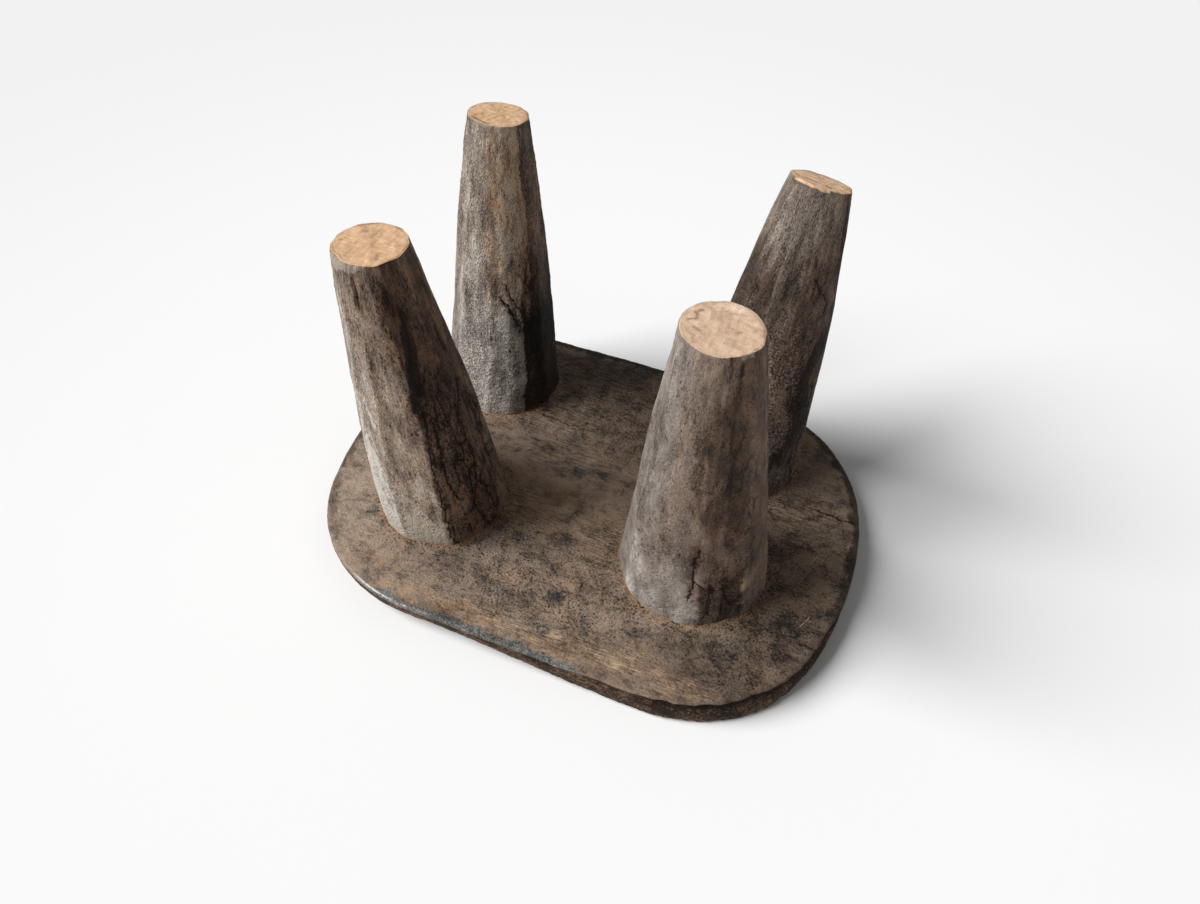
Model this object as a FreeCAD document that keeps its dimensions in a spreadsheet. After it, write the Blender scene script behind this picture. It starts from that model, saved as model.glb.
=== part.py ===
"""Four-legged carved stool, stored turned over: sitting face on z = 0, feet at the top.

X runs along the seat's long side, Y across it, Z from the sitting face to the feet. The origin is the
centre of the seat on the plane that it rests on. The seat is one slab with four blind sockets, and each
leg is a faceted, swelling taper that stands on the slab with its shoulder and holds in a socket by a
round tenon.
"""
import FreeCAD, Part
import math
import os
import Sketcher

# Sizes in millimetres, angles in degrees.
SHARED_SIZES = {
    "overall_height": 218,
    "seat_length": 336,
    "seat_width": 256,
    "seat_thickness": 18,
    "long_side_radius": 2900,
    "short_side_radius": 250,
    "corner_radius": 92,
    "sitting_edge_rounding": 12,
    "under_edge_bevel": 2,
    "dish_length": 250,
    "dish_width": 176,
    "dish_depth": 5,
    "leg_facets": 10,
    "leg_swell": 2,
    "foot_wear": 1.2,
    "tenon_diameter": 34,
    "tenon_length": 9,
    "tenon_clearance": 0.2,
    "socket_end_gap": 0.5,
}

# Each leg's own sizes: the middle of its shoulder on the seat and of its foot, the diameters there over
# the arrises, how far the foot is sawn off level towards the lean, and where the first arris points.
LEG_SIZES = {
    "front_left": {
        "base_x": -90,
        "base_y": -41,
        "base_diameter": 83,
        "foot_x": -103,
        "foot_y": -61,
        "foot_diameter": 38,
        "foot_slant": 0,
        "facet_turn": 18,
    },
    "front_right": {
        "base_x": 73,
        "base_y": -31,
        "base_diameter": 93,
        "foot_x": 65,
        "foot_y": -52,
        "foot_diameter": 41,
        "foot_slant": 0,
        "facet_turn": 33,
    },
    "back_right": {
        "base_x": 74,
        "base_y": 68,
        "base_diameter": 86,
        "foot_x": 82,
        "foot_y": 93,
        "foot_diameter": 35,
        "foot_slant": 16,
        "facet_turn": 33,
    },
    "back_left": {
        "base_x": -100,
        "base_y": 74,
        "base_diameter": 79,
        "foot_x": -102,
        "foot_y": 79,
        "foot_diameter": 36,
        "foot_slant": 0,
        "facet_turn": 28,
    },
}

# The sections that a leg is lofted through, as shares of its length from shoulder to foot. The rim lies
# just under the foot, and the worn edge runs from one to the other.
LEG_SECTIONS = {"shoulder": 0, "lower_swell": 1 / 3, "upper_swell": 2 / 3, "rim": 1, "foot": 1}

# An edge counts as lying on a plane when it is this near.
ON_PLANE = 1e-4
UPRIGHT = FreeCAD.Vector(0, 0, 1)


def make_sheet(doc):
    """Puts every driving dimension in one sheet, a name and a number to a row."""
    sheet = doc.addObject("Spreadsheet::Sheet", "sizes")
    rows = dict(SHARED_SIZES)
    for leg, sizes in LEG_SIZES.items():
        for name, value in sizes.items():
            rows[f"{leg}_{name}"] = value
    for row, (name, value) in enumerate(rows.items(), start=1):
        sheet.set(f"A{row}", name)
        sheet.set(f"B{row}", str(value))
        sheet.setAlias(f"B{row}", name)
    doc.recompute()
    return sheet


def make_body(doc, label):
    """An empty body whose label names the sub-part."""
    body = doc.addObject("PartDesign::Body", label)
    body.Label = label
    return body


def new_sketch(body, name, plane_role="XY_Plane", offset=()):
    """A sketch on one of the body's own planes, moved by formulas of the sheet."""
    sketch = body.newObject("Sketcher::SketchObject", name)
    plane = next(item for item in body.Origin.OriginFeatures if item.Role == plane_role)
    sketch.AttachmentSupport = (plane, [""])
    sketch.MapMode = "FlatFace"
    for axis, formula in zip("xyz", offset):
        sketch.setExpression(f"AttachmentOffset.Base.{axis}", formula)
    return sketch


def worth(item, formula):
    """The plain number that a formula of the sheet gives now."""
    return float(item.evalExpression(formula))


def drive(sketch, kind, *places, formula):
    """Adds a length or a radius to a sketch and binds it to a formula of the sheet."""
    index = sketch.addConstraint(Sketcher.Constraint(kind, *places, worth(sketch, formula)))
    sketch.setExpression(f"Constraints[{index}]", formula)


def flat(x, y):
    return FreeCAD.Vector(x, y, 0)


def edges_on_plane(shape, z):
    """Names of the edges that lie wholly at one height."""
    names = []
    for number, edge in enumerate(shape.Edges, start=1):
        box = edge.BoundBox
        if abs(box.ZMin - z) < ON_PLANE and abs(box.ZMax - z) < ON_PLANE:
            names.append(f"Edge{number}")
    return names


def bowed_rectangle(sketch, sheet):
    """Eight tangent arcs: a long-radius arc for each side and a short one for each corner.

    A corner arc lies inside both side circles that it touches, so its centre is as far from each side's
    centre as the two radii differ.
    """
    long_radius = sheet.long_side_radius
    short_radius = sheet.short_side_radius
    corner_radius = sheet.corner_radius
    long_centre = flat(0, sheet.seat_width / 2 - long_radius)
    short_centre = flat(sheet.seat_length / 2 - short_radius, 0)

    span = short_centre - long_centre
    to_long = long_radius - corner_radius
    to_short = short_radius - corner_radius
    along = (to_long**2 - to_short**2 + span.Length**2) / (2 * span.Length)
    aside = math.sqrt(to_long**2 - along**2)
    direction = span / span.Length
    corner = long_centre + direction * along + flat(direction.y, -direction.x) * aside

    # The back right corner starts on the short side at one angle and ends on the long side at another.
    start = math.atan2(corner.y - short_centre.y, corner.x - short_centre.x)
    end = math.atan2(corner.y - long_centre.y, corner.x - long_centre.x)
    half = math.pi
    arcs = [
        (short_centre, short_radius, -start, start),
        (corner, corner_radius, start, end),
        (long_centre, long_radius, end, half - end),
        (flat(-corner.x, corner.y), corner_radius, half - end, half - start),
        (-short_centre, short_radius, half - start, half + start),
        (-corner, corner_radius, half + start, half + end),
        (-long_centre, long_radius, half + end, 2 * half - end),
        (flat(corner.x, -corner.y), corner_radius, 2 * half - end, 2 * half - start),
    ]
    for centre, radius, first, last in arcs:
        sketch.addGeometry(Part.ArcOfCircle(Part.Circle(centre, UPRIGHT, radius), first, last))

    count = len(arcs)
    for number in range(count):
        sketch.addConstraint(Sketcher.Constraint("Tangent", number, 2, (number + 1) % count, 1))
    radius_names = ("short_side_radius", "corner_radius", "long_side_radius", "corner_radius")
    for number in range(count):
        drive(sketch, "Radius", number, formula=f"sizes.{radius_names[number % len(radius_names)]}")

    # The sides' centres lie on the seat's own axes, as far back as makes the length and the width.
    right, back, left, front = 0, 2, 4, 6
    for number, axis in ((right, -1), (left, -1), (back, -2), (front, -2)):
        sketch.addConstraint(Sketcher.Constraint("PointOnObject", number, 3, axis))
    to_end = "sizes.short_side_radius - sizes.seat_length / 2"
    to_side = "sizes.long_side_radius - sizes.seat_width / 2"
    drive(sketch, "DistanceX", right, 3, -1, 1, formula=to_end)
    drive(sketch, "DistanceX", -1, 1, left, 3, formula=to_end)
    drive(sketch, "DistanceY", back, 3, -1, 1, formula=to_side)
    drive(sketch, "DistanceY", -1, 1, front, 3, formula=to_side)


def dish_section(sketch):
    """Half of the dish's cut: a shallow arc across the seat, and the far axis that it is swung about.

    Both arcs, across the seat and along it, rise the dish's depth over half its width or length, so
    radius = (half span squared + depth squared) / twice the depth. The chord below closes the profile
    clear of the sitting face.
    """
    rise = "sizes.dish_depth"
    across = f"((sizes.dish_width / 2)^2 + {rise}^2) / (2 * {rise})"
    along = f"((sizes.dish_length / 2)^2 + {rise}^2) / (2 * {rise})"
    depth, across_radius, along_radius = (worth(sketch, formula) for formula in (rise, across, along))

    centre = flat(0, depth - across_radius)
    half_chord = math.sqrt(across_radius**2 - (across_radius - 2 * depth) ** 2)
    first = math.atan2(-depth - centre.y, half_chord)
    arc = Part.ArcOfCircle(Part.Circle(centre, UPRIGHT, across_radius), first, math.pi - first)
    sketch.addGeometry(arc)
    sketch.addGeometry(Part.LineSegment(flat(-half_chord, -depth), flat(half_chord, -depth)))
    axis_height = depth - along_radius
    sketch.addGeometry(Part.LineSegment(flat(0, axis_height), flat(half_chord, axis_height)), True)

    arc, chord, axis = 0, 1, 2
    sketch.addConstraint(Sketcher.Constraint("Coincident", arc, 2, chord, 1))
    sketch.addConstraint(Sketcher.Constraint("Coincident", chord, 2, arc, 1))
    sketch.addConstraint(Sketcher.Constraint("Horizontal", chord))
    sketch.addConstraint(Sketcher.Constraint("Horizontal", axis))
    sketch.addConstraint(Sketcher.Constraint("PointOnObject", arc, 3, -2))
    sketch.addConstraint(Sketcher.Constraint("PointOnObject", axis, 1, -2))
    drive(sketch, "Radius", arc, formula=across)
    drive(sketch, "DistanceY", arc, 3, -1, 1, formula=f"{across} - {rise}")
    drive(sketch, "DistanceY", chord, 1, -1, 1, formula=rise)
    drive(sketch, "DistanceY", axis, 1, -1, 1, formula=f"{along} - {rise}")
    drive(sketch, "DistanceX", axis, 1, axis, 2, formula="sizes.dish_width / 2")
    return along


def round_section(sketch, diameter):
    """A circle about the sketch's origin."""
    sketch.addGeometry(Part.Circle(flat(0, 0), UPRIGHT, worth(sketch, diameter) / 2))
    sketch.addConstraint(Sketcher.Constraint("Coincident", 0, 3, -1, 1))
    drive(sketch, "Diameter", 0, formula=diameter)


def faceted_section(sketch, sides, diameter, turn):
    """A regular polygon in a guide circle about the sketch's origin, its first corner turned from X."""
    radius = worth(sketch, diameter) / 2
    first = math.radians(worth(sketch, turn))
    corners = []
    for number in range(sides):
        angle = first + number * 2 * math.pi / sides
        corners.append(flat(radius * math.cos(angle), radius * math.sin(angle)))
    for number in range(sides):
        sketch.addGeometry(Part.LineSegment(corners[number], corners[(number + 1) % sides]))
    guide, pointer = sides, sides + 1
    sketch.addGeometry(Part.Circle(flat(0, 0), UPRIGHT, radius), True)
    sketch.addGeometry(Part.LineSegment(flat(0, 0), corners[0]), True)

    sketch.addConstraint(Sketcher.Constraint("Coincident", guide, 3, -1, 1))
    sketch.addConstraint(Sketcher.Constraint("Coincident", pointer, 1, -1, 1))
    sketch.addConstraint(Sketcher.Constraint("Coincident", pointer, 2, 0, 1))
    for number in range(sides):
        sketch.addConstraint(Sketcher.Constraint("Coincident", number, 2, (number + 1) % sides, 1))
        sketch.addConstraint(Sketcher.Constraint("PointOnObject", number, 1, guide))
    for number in range(1, sides):
        sketch.addConstraint(Sketcher.Constraint("Equal", 0, number))
    drive(sketch, "Diameter", guide, formula=diameter)
    angle = sketch.addConstraint(Sketcher.Constraint("Angle", pointer, first))
    sketch.setExpression(f"Constraints[{angle}]", f"{turn} * 1 deg")


def make_seat(doc, sheet):
    """The slab: outline, rounded and bevelled edges, dished sitting face and one blind socket to a leg."""
    body = make_body(doc, "seat")
    outline = new_sketch(body, "SeatOutline")
    bowed_rectangle(outline, sheet)
    slab = body.newObject("PartDesign::Pad", "Slab")
    slab.Profile = outline
    slab.setExpression("Length", "sizes.seat_thickness")
    doc.recompute()

    sitting_edge = body.newObject("PartDesign::Fillet", "SittingEdge")
    sitting_edge.Base = (slab, edges_on_plane(slab.Shape, 0))
    sitting_edge.setExpression("Radius", "sizes.sitting_edge_rounding")
    doc.recompute()

    under_edge = body.newObject("PartDesign::Chamfer", "UnderEdge")
    under_edge.Base = (sitting_edge, edges_on_plane(sitting_edge.Shape, sheet.seat_thickness))
    under_edge.setExpression("Size", "sizes.under_edge_bevel")
    doc.recompute()

    # The dish is swung far enough each way for the cut to leave the slab at both ends.
    profile = new_sketch(body, "DishProfile", "YZ_Plane")
    swing_radius = dish_section(profile)
    dish = body.newObject("PartDesign::Groove", "Dish")
    dish.Profile = profile
    dish.ReferenceAxis = (profile, ["Axis0"])
    dish.Midplane = True
    dish.setExpression("Angle", f"4 * asin(sizes.dish_length / 2 / ({swing_radius}))")
    doc.recompute()

    for leg in LEG_SIZES:
        place = (f"sizes.{leg}_base_x", f"sizes.{leg}_base_y", "sizes.seat_thickness")
        mouth = new_sketch(body, f"SocketMouth_{leg}", offset=place)
        round_section(mouth, "sizes.tenon_diameter + 2 * sizes.tenon_clearance")
        socket = body.newObject("PartDesign::Pocket", f"Socket_{leg}")
        socket.Profile = mouth
        socket.setExpression("Length", "sizes.tenon_length + sizes.socket_end_gap")
        doc.recompute()
    body.Tip = socket
    return body


def make_leg(doc, sheet, leg):
    """One leg: a ruled loft through faceted sections, with a round tenon below its shoulder."""
    body = make_body(doc, f"leg_{leg}")
    own = f"sizes.{leg}"
    for axis in "xy":
        body.setExpression(f"Placement.Base.{axis}", f"{own}_base_{axis}")
    body.setExpression("Placement.Base.z", "sizes.seat_thickness")

    # A slanted foot's middle lies lower than its highest edge, which reaches the overall height.
    lean_x = f"({own}_foot_x - {own}_base_x)"
    lean_y = f"({own}_foot_y - {own}_base_y)"
    drop = f"({own}_foot_diameter / 2 - sizes.foot_wear) * sin({own}_foot_slant * 1 deg)"
    rise = f"(sizes.overall_height - sizes.seat_thickness - {drop})"

    sections = []
    for name, share in LEG_SECTIONS.items():
        diameter = f"{own}_base_diameter * {1 - share} + {own}_foot_diameter * {share}"
        offset = [f"{reach} * {share}" for reach in (lean_x, lean_y, rise)]
        if name.endswith("swell"):
            diameter += " + 2 * sizes.leg_swell"
        if name == "rim":
            offset[2] += " - sizes.foot_wear"
        if name == "foot":
            diameter += " - 2 * sizes.foot_wear"
        section = new_sketch(body, f"{name}_{leg}", offset=offset)
        faceted_section(section, int(sheet.leg_facets), diameter, f"{own}_facet_turn")
        if share == 1:
            tip_over(section, lean_x, lean_y, f"{own}_foot_slant")
        sections.append(section)
    doc.recompute()

    shaft = body.newObject("PartDesign::AdditiveLoft", f"Shaft_{leg}")
    shaft.Profile = sections[0]
    shaft.Sections = sections[1:]
    shaft.Ruled = True
    doc.recompute()

    tenon_circle = new_sketch(body, f"TenonCircle_{leg}")
    round_section(tenon_circle, "sizes.tenon_diameter")
    tenon = body.newObject("PartDesign::Pad", f"Tenon_{leg}")
    tenon.Profile = tenon_circle
    tenon.Reversed = True
    tenon.setExpression("Length", "sizes.tenon_length")
    doc.recompute()
    body.Tip = tenon
    return body


def tip_over(sketch, lean_x, lean_y, slant):
    """Tips a section towards the lean, about the level line through its middle that is square to it."""
    rotation = "AttachmentOffset.Rotation"
    sketch.setExpression(f"{rotation}.Axis.x", f"-{lean_y}")
    sketch.setExpression(f"{rotation}.Axis.y", lean_x)
    sketch.setExpression(f"{rotation}.Axis.z", "0")
    sketch.setExpression(f"{rotation}.Angle", f"{slant} * 1 deg")


def check(doc, bodies):
    """Stops the build if any feature failed or any sub-part isn't one sound solid."""
    for item in doc.Objects:
        if "Invalid" in item.State or "Error" in item.State:
            raise RuntimeError(f"{item.Label}: {item.State}")
    for body in bodies:
        shape = body.Shape
        if shape.isNull() or not shape.isValid() or len(shape.Solids) != 1:
            raise RuntimeError(f"{body.Label} is not one valid solid")
        box = shape.optimalBoundingBox(False, False)
        sides = " x ".join(f"{side:.1f}" for side in (box.XLength, box.YLength, box.ZLength))
        print(f"{body.Label}: {shape.Volume / 1000:.1f} cm3, {sides} mm, z {box.ZMin:.2f} to {box.ZMax:.2f}")


def main():
    doc = FreeCAD.newDocument("FourLeggedStool")
    sheet = make_sheet(doc)
    bodies = [make_seat(doc, sheet)]
    bodies += [make_leg(doc, sheet, leg) for leg in LEG_SIZES]
    doc.recompute()
    check(doc, bodies)
    os.makedirs("parts", exist_ok=True)
    for body in bodies:
        body.Shape.exportStep(f"parts/{body.Label}.step")


main()
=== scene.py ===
"""Four-legged carved stool, turned over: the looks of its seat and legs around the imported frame.

Lengths are millimetres and angles degrees, until a mesh is made in metres. X runs along the seat, Y across
it, and Z from the sitting face, which lies on the floor, to the feet.
"""

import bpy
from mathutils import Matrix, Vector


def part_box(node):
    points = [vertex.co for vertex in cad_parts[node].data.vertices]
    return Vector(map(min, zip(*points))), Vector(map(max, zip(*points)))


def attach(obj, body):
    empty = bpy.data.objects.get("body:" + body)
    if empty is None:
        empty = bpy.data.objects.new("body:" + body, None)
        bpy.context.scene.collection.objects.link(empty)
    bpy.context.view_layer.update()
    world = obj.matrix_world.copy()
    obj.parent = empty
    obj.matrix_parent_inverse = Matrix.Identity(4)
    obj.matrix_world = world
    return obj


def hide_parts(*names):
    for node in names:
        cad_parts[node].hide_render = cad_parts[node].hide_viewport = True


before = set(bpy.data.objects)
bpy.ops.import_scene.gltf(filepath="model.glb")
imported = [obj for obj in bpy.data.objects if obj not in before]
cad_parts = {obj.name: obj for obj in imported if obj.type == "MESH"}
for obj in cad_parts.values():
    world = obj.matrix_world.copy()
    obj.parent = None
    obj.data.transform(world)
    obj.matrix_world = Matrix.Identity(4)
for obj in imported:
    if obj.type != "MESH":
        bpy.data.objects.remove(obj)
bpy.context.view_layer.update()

import math

import bpy
import numpy as np
from mathutils import Matrix, Vector

MM = 0.001

# The photograph's camera, in metres, from the outlines of the seat and the feet.
CAMERA_PLACE = Vector((0.1061, -0.3592, 0.4693))
CAMERA_TARGET = Vector((0.0076, -0.0304, 0.0900))
CAMERA_ROLL = 4.8
CAMERA_LENS = 27
CAMERA_NEAR = 0.01

# The key light is broad and low on the left, and the rest comes evenly from all round.
KEY_FROM = Vector((-0.70, -0.30, 0.64))
KEY_STRENGTH = 4.1
KEY_SPREAD = 38
ROOM_LIGHT = 0.170
FLOOR_SIZE = 40
FLOOR_DROP = 0.0003
# The floor's colour near the seat, and the greyer colour it turns to between two distances in metres: painted
# shade, a falloff of light painted on the floor.
FLOOR_NEAR = (0.95, 0.95, 0.95, 1)
FLOOR_FAR_SHADE = (0.88, 0.88, 0.88, 1)
FLOOR_SHADE_FADE = (0.25, 0.85)

# The seat's outline is made of eight arcs, and its sitting face has a shallow dish.
SEAT_TOP = 18
LONG_SIDE_RADIUS = 2900
SHORT_SIDE_RADIUS = 250
CORNER_RADIUS = 92
DISH_HALF_LENGTH = 125
DISH_HALF_WIDTH = 88
DISH_DEPTH = 5
SEAT_CELLS = (224, 168)
RIM_ROWS = 22
EDGE_SHARE = 0.30
WALL_SHARE = 0.70

# The legs' grids: points around, rows up the side, over the worn rim and across the sawn foot.
LEG_AROUND = 304
SIDE_ROWS = 270
WEAR_ROWS = 7
FOOT_ROWS = 22
LEG_TOP = 218
LEG_ROOT = 1.5
GRAIN_RADIUS = 30
FOOT_CRISPNESS = 16
WEAR_IN = 0.6
WEAR_DOWN = 1.3
LINE_SHARES = 8
ARRIS_WIDTH = 0.9
LEG_CRACK_DEPTH = 0.7
SEAT_CRACK_DEPTH = 0.5
CRACK_SHADE = 0.08
CRACK_SHADE_WIDTH = 2.2

# Waves up a leg. An arris wanders by some degrees at some pace, from the base on, and a facet's depth and tone
# change at paces of their own.
ARRIS_WAVES = ((2.4, 5.5), (1.0, 13))
WANDER_START = (0.0, 0.25)
FACET_DEPTH = 0.012
FACET_PACE = 9
FACET_TONE = 0.06
TONE_PACE = 3.5

# Unevenness of the wood. A layer has its depth, the cell over which it rises and falls once, and its seed,
# which on a leg is added to the leg's own.
BLADE_STROKES = ((0.16, (16, 16, 30), 2), (0.07, (7, 7, 40), 3))
LEG_FRAY_ANGLE = ((1.3, (7, 7, 22), 20), (1.0, (2.4, 2.4, 7), 21))
LEG_FRAY_HEIGHT = ((5, (6, 6, 30), 22),)
LEG_JAG_ANGLE = ((0.7, (6, 6, 6), 23),)
LEG_JAG_HEIGHT = ((0.6, (5, 5, 6), 24),)
FOOT_WEAR = ((0.15, (1.2, 1.2, 1), 1),)
CHIP_WEAR = ((0.20, (0.28, 0.28, 1), 9),)
SAW_MARKS = ((0.10, (4, 4, 4), 7), (0.05, (9, 1.6, 5), 8))
SEAT_HOLLOWS = ((0.22, (42, 26, 1), 311), (0.12, (11, 7, 1), 312))
SEAT_GRIT = ((0.07, (4.2, 3.4, 1), 313),)
SEAT_CRUMBS = ((0.28, (3.4, 3.4, 1), 314),)
SEAT_JAG = ((0.6, (6, 6, 1), 315),)
SEAT_FRAY_ALONG = ((3.5, (16, 9, 1), 331), (1.5, (5, 3, 1), 333))
SEAT_FRAY_ACROSS = ((2.5, (14, 8, 1), 332),)
EDGE_FRAY = ((0.9, (14, 14, 1), 341), (0.5, (5, 5, 1), 342))
GRIT_DEPTH = 0.03
TORN_GRIT_DEPTH = 0.05
TORN_SCALE_DEPTH = 0.12

# Where a mark of the foot or the seat begins and ends: shares of a leg's height and of the foot's rows, depths
# of wear, and distances from the foot's rim, the seat, a leg or the seat's edge.
FOOT_ROUNDED = (0.72, 1.0)
FOOT_THINNED = (0.6, 1.0)
FOOT_SAWN = (0.7, 1.0)
SAW_MARKS_FADE = (0, 0.15)
CHIP_DEPTHS = (0.8, 2.0)
CHIP_CORE = 0.45
EVEN_WEAR = 0.6
LEAST_WEAR = 0.2
GRIME_TONE = -0.30
GRIME_WIDTH = (0.3, 1.7)
LEG_FRINGE = (0.4, 2.6)
SEAT_FRINGE = (0.6, 4.5)
SEAT_DUST = (2.0, 14.0)
CRUMB_REACH = (0.3, 4.0)
CRUMB_HEIGHT = 0.30
BEVEL_FADE = (0.2, 1.0)
STAIN_WIDTH = (0.8, 3.8)
GLOSS_WIDTH = (0.2, 1.6)
PATCH_EDGE = (0.4, 1.4)

# The woods' fine relief in metres, the sheen of bare wood and the polish of the seat's edge.
LEG_RELIEF = 0.0007
SEAT_RELIEF = 0.0009
WOOD_SHEEN = 0.12
POLISH_WEIGHT = 0.65
POLISH_ROUGHNESS = 0.22
POLISH_IOR = 1.8

# A window on a leg's side has one of these heights at an end that runs past the leg's root or foot. Each
# kind of window is soft at its ends over so many degrees and millimetres.
ROOT = -30
FOOT = 215
WINDOW_ENDS = {
    "patches": (1.6, 12), "warm": (6, 14), "ash": (10, 40), "rough": (4, 16), "crackle": (4, 16),
}

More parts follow.
